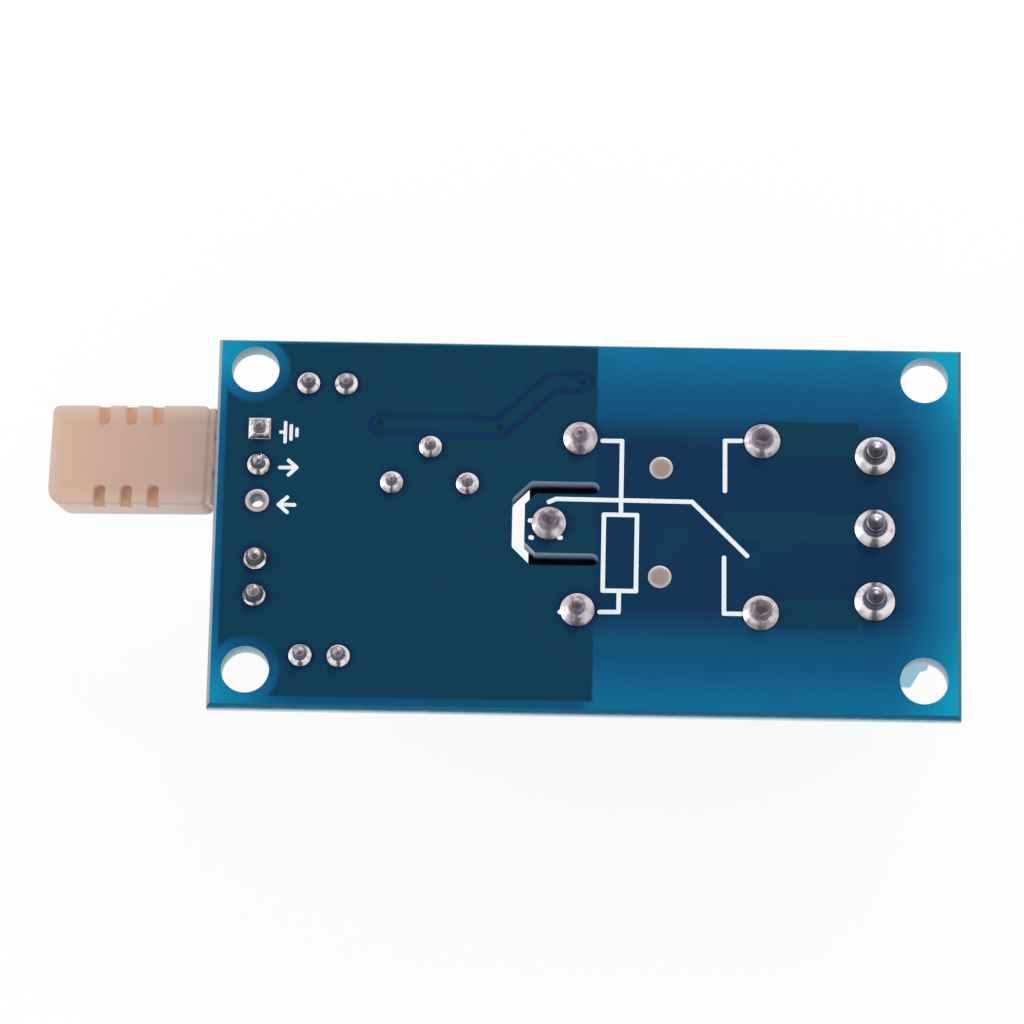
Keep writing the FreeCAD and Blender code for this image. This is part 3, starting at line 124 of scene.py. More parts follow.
class Sums:
    """The nodes that the world and the materials share. Lengths are in millimetres."""

    def __init__(self, tree: bpy.types.NodeTree) -> None:
        """Works in one node tree."""
        self.tree = tree

    def node(self, kind: str, **settings: str | int) -> Node:
        """Adds a shader node.

        Args:
            kind: What it is.
            settings: Its own settings.

        Returns:
            The node.
        """
        node = self.tree.nodes.new(f"ShaderNode{kind}")
        for name, value in settings.items():
            setattr(node, name, value)
        return node

    def feed(self, socket: Socket, value: Value) -> None:
        """Links a socket, or sets it.

        Args:
            socket: The socket.
            value: Another node's socket, or a number, vector or colour.
        """
        if isinstance(value, Socket):
            self.tree.links.new(value, socket)
        else:
            socket.default_value = value

    def put(self, node: Node, **values: Value) -> Node:
        """Feeds a node's inputs by their names.

        Args:
            node: The node.
            values: What its inputs get.

        Returns:
            The node.
        """
        for name, value in values.items():
            self.feed(node.inputs[name.replace("_", " ")], value)
        return node

    def fill(self, node: Node, *values: Value) -> Socket:
        """Feeds a node's inputs from the first on.

        Args:
            node: The node.
            values: What its inputs get.

        Returns:
            The node's first output.
        """
        for socket, value in zip(node.inputs, values):
            self.feed(socket, value)
        return node.outputs[0]

    def math(self, operation: str, *values: Value) -> Socket:
        """One sum of one to three numbers."""
        return self.fill(self.node("Math", operation=operation), *values)

    def fold(self, operation: str, values: Iterable[Value]) -> Socket:
        """Joins many numbers by one operation."""
        return reduce(lambda before, value: self.math(operation, before, value), values)

    def times(self, *values: Value) -> Socket:
        """The product of several numbers."""
        return self.fold("MULTIPLY", values)

    def less(self, share: Value) -> Socket:
        """What a share leaves of 1."""
        return self.math("SUBTRACT", 1.0, share)

    def step(self, value: Value, low: float, high: float, start: float = 0.0, end: float = 1.0) -> Socket:
        """A smooth change from start to end while a value goes from low to high."""
        return self.fill(self.node("MapRange", interpolation_type="SMOOTHSTEP"), value, low, high, start, end)

    def shift(self, value: Value, low: float, high: float) -> Socket:
        """A straight map of 0 to 1 onto low to high."""
        return self.fill(self.node("MapRange"), value, 0.0, 1.0, low, high)

    def vector(self, operation: str, *values: Value) -> Socket:
        """One sum of vectors, which gives a vector, or a number where the operation does."""
        node = self.fill(self.node("VectorMath", operation=operation), *values).node
        return node.outputs[1 if operation in ("DOT_PRODUCT", "DISTANCE") else 0]

    def scale(self, vector: Value, share: Value) -> Socket:
        """A vector times a number."""
        return self.put(self.node("VectorMath", operation="SCALE"), Vector=vector, Scale=share).outputs[0]

    def parts(self, vector: Socket) -> tuple[Socket, ...]:
        """The X, Y and Z of a vector."""
        return tuple(self.fill(self.node("SeparateXYZ"), vector).node.outputs)

    def nearest(self, point: Socket, places: Line) -> Socket:
        """The distance of a flattened place from the nearest of several points."""
        return self.fold("MINIMUM", [self.vector("DISTANCE", point, (*place, 0.0)) for place in places])

    def seen(self) -> Socket:
        """Tells what is looked at from light that falls on the object.

        Returns:
            1 for what the camera, a mirror or glass sees, and 0 for other light.
        """
        path = self.node("LightPath")
        total = path.outputs["Is Camera Ray"]
        for name in ("Is Glossy Ray", "Is Transmission Ray"):
            total = self.fill(self.node("Math", operation="ADD", use_clamp=True), total, path.outputs[name])
        return total


class Graph(Sums):
    """The shader graph of one material."""

    def __init__(self, name: str) -> None:
        """Starts a material with its principled shader.

        Args:
            name: The material's name.
        """
        self.material = bpy.data.materials.new(name)
        self.material.use_nodes = True
        super().__init__(self.material.node_tree)
        self.shader = self.tree.nodes["Principled BSDF"]
        coordinates = self.node("TexCoord")
        self.place = self.scale(coordinates.outputs["Object"], 1.0 / MM)
        self.normal = coordinates.outputs["Normal"]

    def fix(self, **constants: float) -> None:
        """Sets what is the same all over the surface on the shader itself."""
        self.put(self.shader, **constants)

    def flat(self) -> Socket:
        """The place without its height."""
        return self.vector("MULTIPLY", self.place, FLAT)

    def noise(self, scale: float, detail: float = 3.0, stretch: Triple = (1.0, 1.0, 1.0)) -> Socket:
        """Noise from 0 to 1 over the object's own place, finer by scale, layered by detail and drawn out by stretch."""
        place = self.vector("MULTIPLY", self.place, stretch)
        return self.put(self.node("TexNoise"), Vector=place, Scale=scale, Detail=detail).outputs["Fac"]

    def mix(self, share: Value, first: Value, second: Value) -> Socket:
        """A colour between two.

        Args:
            share: 0 for the first and 1 for the second.
            first: A socket, a screen colour of three parts or a linear one of four.
            second: The other colour.

        Returns:
            The colour.
        """
        node = self.node("Mix", data_type="RGBA")
        for index, value in ((0, share), (6, first), (7, second)):
            on_screen = isinstance(value, tuple) and len(value) == 3
            self.feed(node.inputs[index], linear(value) if on_screen else value)
        return node.outputs[2]

    def ramp(self, value: Value, stops: Stops) -> Socket:
        """A colour along a row of stops.

        Args:
            value: Where along the row, from 0 to 1.
            stops: Each place and its screen colour.

        Returns:
            The colour there.
        """
        node = self.node("ValToRGB")
        elements = node.color_ramp.elements
        while len(elements) < len(stops):
            elements.new(0.5)
        for element, (place, colour) in zip(elements, stops):
            element.position = place
            element.color = linear(colour)
        return self.fill(node, value)

    def bump(self, height: Value, depth: float, strength: float = 1.0) -> Socket:
        """The surface's normal over a relief of a full depth, of which a share shows."""
        return self.put(self.node("Bump"), Strength=strength, Distance=depth * MM, Height=height).outputs["Normal"]

    def wear(self, colour: Value, rough: Value, normal: Value) -> Material:
        """Joins colour, roughness and bent normal to the shader and gives the finished material."""
        self.put(self.shader, Base_Color=colour, Roughness=rough, Normal=normal)
        return self.material


@dataclass(frozen=True)
class Moulded:
    """Moulded plastic: a fine grain, a slow mottle and a low gloss, and where asked painted shade above a height."""

    name: str
    colour: Triple
    deeper: Triple
    rough: float = 0.45
    grain: float = 5.0
    relief: float = 0.012
    shaded_above: float | None = None
    shade: Triple = (12, 16, 26)
    shade_depth: float = 0.7

    def make(self) -> Material:
        """Makes the material.

        Returns:
            The material.
        """
        graph = Graph(self.name)
        cloud = graph.noise(0.35, 4.0)
        grain = graph.noise(self.grain, 2.0)
        colour = graph.mix(graph.step(cloud, 0.3, 0.75), self.colour, self.deeper)
        # Painted shade: darker above a height, where the part lies in shade next to the board.
        if self.shaded_above is not None:
            height = graph.parts(graph.place)[2]
            share = graph.step(height, self.shaded_above - self.shade_depth, self.shaded_above)
            colour = graph.mix(share, colour, self.shade)
        rough = graph.shift(grain, self.rough - 0.08, self.rough + 0.1)
        return graph.wear(colour, rough, graph.bump(grain, self.relief, 0.6))


@dataclass(frozen=True)
class Metal:
    """Drawn, rolled or plated metal with streaks along one way."""

    name: str
    bright: Triple
    dull: Triple
    rough: float = 0.28
    streak: Triple = (0.3, 6.0, 6.0)
    relief: float = 0.004
    soft_edge: float = 0.0

    def make(self) -> Material:
        """Makes the material.

        Returns:
            The material.
        """
        graph = Graph(self.name)
        graph.fix(Metallic=1.0)
        lines = graph.noise(2.0, 3.0, self.streak)
        colour = graph.mix(graph.step(graph.noise(0.6), 0.25, 0.8), self.bright, self.dull)
        normal = graph.bump(lines, self.relief, 0.5)
        if self.soft_edge:
            normal = graph.fill(graph.node("Bevel", samples=6), self.soft_edge * MM, normal)
        return graph.wear(colour, graph.shift(lines, self.rough - 0.1, self.rough + 0.15), normal)


@dataclass(frozen=True)
class Tinned:
    """Frozen solder: shining, with soft dents, grey frosted patches and a rougher crown over the pin, whose darker
    colour is a painted reflection.
    """

    name: str
    bright: Triple = (236, 230, 232)
    frosted: Triple = (176, 166, 170)
    # The crown colour and the heights where it starts: a painted dark reflection over the joint's top.
    crown: Triple = (154, 148, 160)
    painted_crown_level: Pair = (0.9, 1.4)
    neck_level: Pair = (0.3, 0.6)
    neck_rough: float = 0.12
    dent: float = 0.03
    size: float = 1.1
    gloss: Pair = (0.2, 0.36)
    uneven: float = 0.12

    def make(self) -> Material:
        """Makes the material.

        Returns:
            The material.
        """
        graph = Graph(self.name)
        graph.fix(Metallic=1.0)
        dents = graph.noise(self.size, 1.0)
        frost = graph.step(graph.noise(1.3, 4.0), 0.45, 0.75)
        colour = graph.mix(frost, self.bright, self.frosted)
        level = graph.math("ADD", graph.parts(graph.place)[2], graph.shift(dents, -self.uneven, self.uneven))
        # Painted reflection: the crown is painted darker, for the dark overhead that its top mirrors.
        colour = graph.mix(graph.step(level, *self.painted_crown_level), colour, self.crown)
        neck = graph.times(graph.step(level, *self.neck_level), self.neck_rough)
        rough = graph.math("ADD", graph.shift(frost, *self.gloss), neck)
        return graph.wear(colour, rough, graph.bump(dents, self.dent))


@dataclass(frozen=True)
class Pads:
    """Flat tinned pads: warm and dull in the middle, paler towards their rims."""

    centres: Line
    radius: float
    name: str = "pad_finish"
    metal: float = 0.3
    uneven: float = 0.12
    colours: Stops = (
        (0.0, (184, 150, 130)), (0.35, (166, 147, 142)), (0.7, (170, 157, 154)), (0.88, (216, 208, 204)),
        (1.0, (176, 170, 172)))

    def make(self) -> Material:
        """Makes the material.

        Returns:
            The material.
        """
        graph = Graph(self.name)
        graph.fix(Metallic=self.metal)
        cloud = graph.noise(1.6)
        share = graph.math("DIVIDE", graph.nearest(graph.flat(), self.centres), self.radius)
        share = graph.math("ADD", share, graph.shift(cloud, -self.uneven, self.uneven))
        colour = graph.ramp(share, self.colours)
        return graph.wear(colour, graph.shift(cloud, 0.4, 0.55), graph.bump(cloud, 0.01, 0.6))


@dataclass(frozen=True)
class Lens:
    """Clear tinted resin."""

    name: str
    colour: Triple
    deeper: Triple

    def make(self) -> Material:
        """Makes the material.

        Returns:
            The material.
        """
        graph = Graph(self.name)
        graph.fix(IOR=1.5, Transmission_Weight=0.55)
        cloud = graph.noise(0.8, 2.0)
        colour = graph.mix(cloud, self.colour, self.deeper)
        return graph.wear(colour, graph.shift(cloud, 0.08, 0.2), graph.bump(cloud, 0.01, 0.4))


@dataclass(frozen=True)
class Ink:
    """White print: slightly uneven, matt and a little worn at its grain."""

    name: str = "print_ink"
    white: Triple = (236, 242, 248)
    thin: Triple = (206, 216, 226)

    def make(self) -> Material:
        """Makes the material.

        Returns:
            The material.
        """
        graph = Graph(self.name)
        grain = graph.noise(4.0, 4.0)
        colour = graph.mix(graph.step(grain, 0.5, 0.85), self.white, self.thin)
        return graph.wear(colour, graph.shift(grain, 0.4, 0.6), graph.bump(grain, 0.01, 0.6))


@dataclass(frozen=True)
class Case:
    """The sensor's cream case: warmer at its tip, with painted light paler along its rim and sides and warmer on its
    recess floors.
    """

    origin: Triple
    axes: Matrix
    half_length: float
    half_width: float
    name: str = "sensor_case_finish"
    along_colours: Stops = ((0.0, (207, 173, 150)), (0.5, (198, 163, 147)), (1.0, (187, 158, 143)))
    # rim and side are painted light: a paler band on the edges and tip, and paler side faces.
    rim: Triple = (212, 190, 178)
    side: Triple = (232, 206, 192)
    # recess is painted light: a warm orange on the recess floors.
    recess: Triple = (216, 176, 148)
    uneven: float = 1.2
    edge_band: Pair = (1.3, 0.1)
    tip_band: Pair = (1.1, 0.1)
    recess_band: Pair = (-0.3, -0.6)

    def make(self) -> Material:
        """Makes the material.

        Returns:
            The material.
        """
        graph = Graph(self.name)
        own = graph.vector("SUBTRACT", graph.place, self.origin)
        columns = [tuple(self.axes.col[index]) for index in range(3)]
        along, across, up = (graph.vector("DOT_PRODUCT", own, column) for column in columns)
        cloud = graph.noise(0.4)
        place = graph.math("ADD", along, graph.shift(cloud, -self.uneven, self.uneven))
        colour = graph.ramp(graph.step(place, -self.half_length, self.half_length), self.along_colours)
        # Painted light: the long edges and the tip are painted paler, for light caught on their rounded, translucent
        # edges.
        edge = graph.step(graph.math("ABSOLUTE", across), *(self.half_width - band for band in self.edge_band))
        tip = graph.step(along, *(band - self.half_length for band in self.tip_band))
        rim = graph.times(graph.math("MAXIMUM", edge, tip), graph.shift(cloud, 0.4, 0.8))
        colour = graph.mix(rim, colour, self.rim)
        # Painted light: faces turned away from straight up are painted paler, as if lit from the front.
        facing = graph.vector("DOT_PRODUCT", graph.normal, columns[2])
        colour = graph.mix(graph.step(facing, 0.8, 0.3), colour, self.side)
        # Painted light: the upward recess floors take a warmer orange, for light through the translucent case into the
        # shaded slots.
        hollow = graph.times(graph.step(up, *self.recess_band), graph.step(facing, 0.5, 0.8))
        colour = graph.mix(hollow, colour, self.recess)
        grain = graph.noise(6.0, 2.0)
        return graph.wear(colour, graph.shift(grain, 0.42, 0.6), graph.bump(grain, 0.01, 0.5))


@dataclass(frozen=True)
class Site:
    """Where on the board its material is: the graph, the flattened place, and X, Y and Z."""

    graph: Graph
    point: Socket
    x: Socket
    y: Socket
    z: Socket


@dataclass(frozen=True)
class BoardFinish:
    """The board: blue mask over its copper, glass-fibre edges, painted light that its edges let in, and painted light
    and shade on its cut edges.

    Every place is in millimetres from the centre of the four mounting holes.
    """

    centre: Pair
    half: Pair
    thickness: float
    holes: Line
    rings: Circles
    openings: Circles
    name: str = "board_mask"
    pour: tuple[Pair, Pair] = ((-24.36, 0.54), (-12.3, 12.4))
    strips: tuple[tuple[Pair, Pair], ...] = (
        ((11.2, 18.1), (5.0, 7.4)), ((9.0, 18.1), (-1.05, 1.0)), ((11.2, 18.1), (-7.1, -5.1)))
    slot: tuple[Pair, Pair] = ((-5.6, 1.2), (-3.4, 3.4))
    trace: Line = ((-14.0, 6.75), (-5.96, 6.67), (-2.5, 9.9), (-0.38, 9.96))
    trace_half: float = 0.38
    trace_gap: float = 0.5
    vias: Line = ((-0.38, 9.96), (-13.99, 6.9), (-5.96, 6.67))
    hole_ring: float = 2.3
    soft: float = 0.09
    copper_colour: Triple = (4, 59, 83)
    halo_colour: Triple = (8, 46, 84)
    opening_colour: Triple = (4, 26, 54)
    opening: float = 0.12
    via_colour: Triple = (8, 22, 44)
    far_colour: Triple = (0, 50, 80)
    cloud_colour: Triple = (8, 74, 106)
    # Painted light: where and how strongly the laminate is painted as letting light through.
    side_glows: tuple[tuple[Pair, float], ...] = (((5.4, 8.6), 0.32), ((8.3, 13.2), 0.43))
    pour_glow: float = 0.42
    lower_glow: float = 0.86
    right_glow: tuple[Pair, float] = ((-5.0, 0.3), 0.85)
    left_glow: tuple[Pair, float] = ((2.0, -0.2), 0.4)
    corner_glows: tuple[tuple[int, int, float], ...] = ((-1, 1, 0.84), (-1, -1, 0.76), (1, 1, 0.72), (1, -1, 0.42))
    corner_band: Pair = (6.4, 1.4)
    # Painted light: the bare laminate's colour for each strength of the painted glow.
    bare_glow_colours: Stops = (
        (0.0, (6, 50, 84)), (0.25, (2, 78, 119)), (0.5, (0, 97, 141)), (0.7, (0, 109, 152)),
        (0.85, (0, 126, 166)), (1.0, (0, 160, 192)))
    outer_colours: Stops = (
        (0.0, (0, 100, 140)), (0.18, (0, 98, 134)), (0.3, (88, 146, 172)), (0.44, (170, 200, 214)),
        (0.6, (222, 236, 244)), (1.0, (232, 240, 246)))
    # Painted light and shade: a pale edge facing -X as if lit, a dark teal edge facing +X as if shaded.
    lit_left_colour: Triple = (146, 164, 176)
    shaded_right_colour: Triple = (0, 98, 132)
    hole_colours: Stops = ((0.0, (112, 184, 212)), (0.25, (142, 170, 184)), (1.0, (206, 222, 228)))
    # Painted shade: the slot walls run from pale at the top to near black at the bottom.
    slot_shade_colours: Stops = (
        (0.0, (176, 196, 226)), (0.4, (188, 204, 222)), (0.66, (160, 172, 188)), (0.84, (84, 92, 104)),
        (1.0, (40, 44, 52)))

    def box(self, site: Site, x_range: Pair, y_range: Pair) -> Socket:
        """How much a place lies in a rectangle.

        Args:
            site: The place.
            x_range: The rectangle's two ends along X.
            y_range: Its two ends along Y.

        Returns:
            1 inside and 0 outside, soft at its edges.
        """
        graph, shares = site.graph, []
        for value, (low, high) in ((site.x, x_range), (site.y, y_range)):
            away = graph.math("ABSOLUTE", graph.math("SUBTRACT", value, (low + high) / 2.0))
            reach = (high - low) / 2.0
            shares.append(graph.step(away, reach + self.soft, reach - self.soft))
        return graph.times(*shares)

    def beyond(self, site: Site, radius: float, places: Line) -> Socket:
        """0 within a radius of any of the points and 1 beyond it."""
        near = site.graph.nearest(site.point, places)
        return site.graph.step(near, radius - 2.0 * self.soft, radius + 2.0 * self.soft)

    def along(self, site: Site, start: Pair, end: Pair) -> Socket:
        """The distance of a place from a straight run.

        Args:
            site: The place.
            start: The run's first end.
            end: Its other end.

        Returns:
            The distance.
        """
        graph = site.graph
        run = Vector((end[0] - start[0], end[1] - start[1], 0.0))
        shifted = graph.vector("SUBTRACT", site.point, (*start, 0.0))
        share = graph.vector("DOT_PRODUCT", shifted, tuple(run / run.length_squared))
        share = graph.math("MINIMUM", graph.math("MAXIMUM", share, 0.0), 1.0)
        return graph.vector("DISTANCE", shifted, graph.scale(tuple(run), share))

    def copper(self, site: Site) -> tuple[Socket, Socket]:
        """Where copper lies under the mask: the pour less its clearances, the trace and the strips.

        Args:
            site: The place.

        Returns:
            1 on copper and 0 on bare laminate, and 1 in the narrow gaps round joints and trace.
        """
        graph = site.graph
        shares = [self.box(site, *self.pour)]
        for hole in self.holes:
            outer = self.box(site, *(tuple(sorted((reach, 2.0 * reach))) for reach in hole))
            shares.append(graph.less(outer))
        shares.append(self.beyond(site, self.hole_ring, self.holes))
        near = graph.fold("MINIMUM", [self.along(site, *ends) for ends in zip(self.trace, self.trace[1:])])
        outer = self.trace_half + self.trace_gap
        unbroken = graph.times(
            *(self.beyond(site, *circles) for circles in self.rings),
            graph.step(near, outer - self.soft, outer + self.soft))
        line = graph.step(near, self.trace_half + self.soft, self.trace_half - self.soft)
        strips = [self.box(site, *strip) for strip in self.strips]
        copper = graph.fold("MAXIMUM", (graph.times(graph.times(*shares), unbroken), line, *strips))
        return copper, graph.less(unbroken)

    def glow(self, site: Site) -> Socket:
        """How much painted light the laminate shows as let through: none over the parts, most at edges and corners.

        Args:
            site: The place.

        Returns:
            A number from 0 to 1.
        """
        graph = site.graph
        across = graph.math("ABSOLUTE", site.y)
        side = graph.fold("ADD", [graph.times(graph.step(across, *band), share) for band, share in self.side_glows])
        side = graph.times(
            side, graph.shift(graph.step(site.x, -0.6, 0.8), self.pour_glow, 1.0),
            graph.shift(graph.step(site.y, -3.0, 3.0), self.lower_glow, 1.0))
        shares = [side]
        for (band, share), end in ((self.right_glow, self.half[0]), (self.left_glow, -self.half[0])):
            shares.append(graph.times(graph.step(site.x, *(end + value for value in band)), share))
        for side_x, side_y, strength in self.corner_glows:
            corner = (self.centre[0] + side_x * self.half[0], self.centre[1] + side_y * self.half[1])
            shares.append(graph.times(graph.step(graph.nearest(site.point, (corner,)), *self.corner_band), strength))
        return graph.less(graph.times(*(graph.less(share) for share in shares)))

    def wall(self, site: Site, facing: Socket) -> Socket:
        """The colour of the cut edges: outer edge, holes and slot, with painted light on edges facing -X and painted
        shade on edges facing +X and deep in the slot.

        Args:
            site: The place.
            facing: How much the surface looks towards -X.

        Returns:
            The colour.
        """
        graph = site.graph
        weave = graph.noise(2.2, 3.0, (1.0, 1.0, 6.0))
        depth = graph.math("DIVIDE", site.z, -self.thickness)
        frayed = graph.math("ADD", depth, graph.shift(weave, -0.12, 0.12))
        # Painted light and shade: edges facing -X are painted pale as if lit, edges facing +X dark teal as if shaded.
        outer = graph.mix(graph.step(facing, 0.3, 0.7), graph.ramp(frayed, self.outer_colours), self.lit_left_colour)
        outer = graph.mix(graph.step(facing, -0.3, -0.7), outer, self.shaded_right_colour)
        in_hole = graph.step(graph.nearest(site.point, self.holes), 2.0, 1.8)
        colour = graph.mix(in_hole, outer, graph.ramp(frayed, self.hole_colours))
        # Painted shade: the slot walls darken to near black with depth, where the relay under the board shades them.
        return graph.mix(self.box(site, *self.slot), colour, graph.ramp(frayed, self.slot_shade_colours))

    def make(self) -> Material:
        """Makes the material.

        Returns:
            The material.
        """
        graph = Graph(self.name)
        site = Site(graph, graph.flat(), *graph.parts(graph.place))
        copper, narrow = self.copper(site)
        # Painted light: the bare laminate runs from dark indigo to bright teal with the painted glow.
        mask = graph.mix(narrow, graph.ramp(self.glow(site), self.bare_glow_colours), self.halo_colour)
        mask = graph.mix(copper, mask, self.copper_colour)
        for radius, places in self.openings:
            near = graph.nearest(site.point, places)
            bared = graph.step(near, radius + self.opening, radius + 0.5 * self.opening)
            mask = graph.mix(bared, mask, self.opening_colour)
        top = self.centre[1] + self.half[1]
        for share, strength, colour in (
                (graph.step(graph.nearest(site.point, self.vias), 0.3, 0.15), 0.6, self.via_colour),
                (graph.step(site.y, top - 0.12, top - 0.04), 0.7, self.far_colour),
                (graph.step(graph.noise(0.25), 0.45, 0.8), 0.2, self.cloud_colour)):
            mask = graph.mix(graph.times(share, strength), mask, colour)
        turn = graph.parts(graph.normal)
        flat = graph.step(graph.math("ABSOLUTE", turn[2]), 0.94, 0.98)
        colour = graph.mix(flat, self.wall(site, graph.times(turn[0], -1.0)), mask)
        peel = graph.noise(1.1, 2.0)
        relief = graph.math("ADD", copper, graph.times(peel, 0.5))
        graph.fix(Specular_IOR_Level=0.12)
        return graph.wear(colour, graph.shift(peel, 0.28, 0.4), graph.bump(relief, 0.006, 0.4))


class Finish(Enum):
    """The finishes that CAD nodes and pieces share, by the record's slots."""

    TIN = Metal("tin_finish", (214, 210, 208), (166, 162, 164), 0.3, soft_edge=0.22)
    # The relay case gets painted shade along its rim next to the board.
    RELAY_CASE = Moulded("relay_case_finish", (24, 74, 158), (20, 67, 148), 0.42, shaded_above=-2.4)
    RELAY_BASE = Moulded("relay_base_finish", (20, 23, 31), (14, 17, 24), 0.55)
    STEEL = Metal("steel_finish", (206, 206, 204), (150, 150, 152), 0.3)
    WHITE_PLASTIC = Moulded("bobbin_finish", (226, 224, 214), (210, 208, 198), 0.5)
    COPPER = Metal("winding_finish", (196, 104, 62), (150, 72, 44), 0.35, (1.0, 1.0, 14.0), 0.02)
    CONTACT_METAL = Metal("contact_finish", (214, 186, 122), (172, 146, 96), 0.3)
    TERMINAL_CASE = Moulded("terminal_case_finish", (158, 214, 242), (150, 206, 236), 0.46)
    TRIMMER_CASE = Moulded("trimmer_case_finish", (44, 104, 178), (36, 92, 162), 0.42)
    CERAMIC = Moulded("ceramic_finish", (232, 230, 222), (214, 210, 200), 0.6, 8.0)
    CARBON_FILM = Moulded("track_finish", (34, 33, 34), (24, 24, 25), 0.6, 9.0)
    BLACK_PLASTIC = Moulded("black_plastic_finish", (30, 30, 33), (22, 22, 25), 0.5)
    RED_LENS = Lens("red_lens_finish", (208, 36, 30), (150, 16, 16))
    GREEN_LENS = Lens("green_lens_finish", (66, 176, 72), (30, 130, 46))
    CAPACITOR_CERAMIC = Moulded("capacitor_finish", (182, 150, 116), (164, 132, 100), 0.55)
    # Each solder's crown colour is a painted dark reflection on the joint's top.
    SOLDER = Tinned("solder_finish")
    DULL_SOLDER = Tinned(
        "dull_solder_finish", (222, 212, 216), (156, 146, 154), (124, 110, 116), (1.3, 1.44),
        neck_rough=0.3, dent=0.06, size=1.8, gloss=(0.3, 0.46))
    SMALL_SOLDER = Tinned(
        "small_solder_finish", crown=(180, 168, 176), painted_crown_level=(0.8, 1.15), neck_level=(0.2, 0.5),
        neck_rough=0.26, dent=0.05, size=1.7)
    ROUGH_SOLDER = Tinned(
        "rough_solder_finish", (242, 236, 232), (150, 132, 128), (182, 170, 176), (0.7, 1.1), (0.2, 0.5),
        neck_rough=0.22, dent=0.1, size=1.8)
    PRINT = Ink()


AnyFinish = Finish | Case | Pads | BoardFinish


class Bench:
    """Modelling moves in millimetres, shared by every piece."""

    @staticmethod
    def clear() -> None:
        """Leaves nothing selected and no mesh open."""
        if bpy.context.object and bpy.context.object.mode == "EDIT":
            bpy.ops.object.mode_set(mode="OBJECT")
        bpy.ops.object.select_all(action="DESELECT")

    @staticmethod
    def pick(*things: Thing) -> None:
        """Selects objects and makes the first the active one.

        Args:
            things: The objects.
        """
        Bench.clear()
        for thing in things:
            thing.select_set(True)
        bpy.context.view_layer.objects.active = things[0]

    @staticmethod
    def open(thing: Thing) -> None:
        """Opens an object's mesh with nothing in it selected.

        Args:
            thing: The object.
        """
        Bench.pick(thing)
        bpy.ops.object.mode_set(mode="EDIT")
        bpy.ops.mesh.select_all(action="DESELECT")

    @staticmethod
    def rings(place: Triple, profile: Line, sides: int) -> Thing:
        """A round body, drawn up ring by ring.

        Args:
            place: The centre of its foot.
            profile: The radius and height of each ring from the foot up.
            sides: How many sides each ring has.

        Returns:
            The new object, still open to more work.
        """
        Bench.clear()
        radius, height = profile[0]
        centre = Vector(place) * MM
        foot = centre.z
        bpy.ops.mesh.primitive_circle_add(
            vertices=sides, radius=radius * MM, fill_type="NGON", location=centre + Vector((0.0, 0.0, height * MM)))
        bpy.ops.object.transform_apply()
        bpy.ops.object.mode_set(mode="EDIT")
        bpy.ops.mesh.select_all(action="SELECT")
        for after_radius, after_height in profile[1:]:
            bpy.ops.mesh.extrude_region_move(
                TRANSFORM_OT_translate={"value": (0.0, 0.0, (after_height - height) * MM)})
            share = after_radius / radius
            centre.z = foot + after_height * MM
            bpy.ops.transform.resize(value=(share, share, 1.0), center_override=centre)
            radius, height = after_radius, after_height
        bpy.ops.mesh.select_all(action="SELECT")
        bpy.ops.mesh.normals_make_consistent(inside=False)
        bpy.ops.object.mode_set(mode="OBJECT")
        return bpy.context.object

    @staticmethod
    def block(low: Triple, high: Triple) -> Thing:
        """A straight block, still open to more work.

        Args:
            low: Its lowest corner.
            high: Its highest corner.

        Returns:
            The new object.
        """
        Bench.clear()
        bpy.ops.mesh.primitive_cube_add(size=1.0, location=(Vector(low) + Vector(high)) / 2.0 * MM)
        bpy.context.object.scale = (Vector(high) - Vector(low)) * MM
        bpy.ops.object.transform_apply()
        return bpy.context.object

    @staticmethod
    def bevel(thing: Thing, width: float, steps: int, wanted: Callable[[Vector, Vector], bool]) -> None:
        """Rounds the edges that a test picks.

        Args:
            thing: The object.
            width: The round's width.
            steps: How many faces it has across.
            wanted: Takes an edge's two ends in millimetres and says whether it is rounded.
        """
        Bench.open(thing)
        bpy.ops.mesh.select_mode(type="EDGE")
        for edge in bmesh.from_edit_mesh(thing.data).edges:
            edge.select_set(bool(wanted(*(vertex.co / MM for vertex in edge.verts))))
        bmesh.update_edit_mesh(thing.data)
        bpy.ops.mesh.bevel(offset=width * MM, segments=steps, profile=0.5, affect="EDGES", clamp_overlap=True)
        bpy.ops.object.mode_set(mode="OBJECT")

    @staticmethod
    def cut(thing: Thing, *cutters: Thing) -> None:
        """Cuts other objects out of one and removes them.

        Args:
            thing: The object that stays.
            cutters: What is cut out of it.
        """
        for cutter in cutters:
            Bench.pick(thing)
            modifier = thing.modifiers.new("cut", "BOOLEAN")
            modifier.object = cutter
            modifier.solver = "EXACT"
            bpy.ops.object.modifier_apply(modifier=modifier.name)
            bpy.data.objects.remove(cutter)

    @staticmethod
    def join(things: list[Thing]) -> Thing:
        """Makes several objects one.

        Args:
            things: The objects.

        Returns:
            The first of them, with all their meshes.
        """
        Bench.pick(*things)
        if len(things) > 1:
            bpy.ops.object.join()
        return things[0]

    @staticmethod
    def smooth(thing: Thing, angle: float = 35.0) -> None:
        """Shades an object smooth but for edges sharper than an angle in degrees."""
        Bench.pick(thing)
        bpy.ops.object.shade_smooth_by_angle(angle=math.radians(angle))


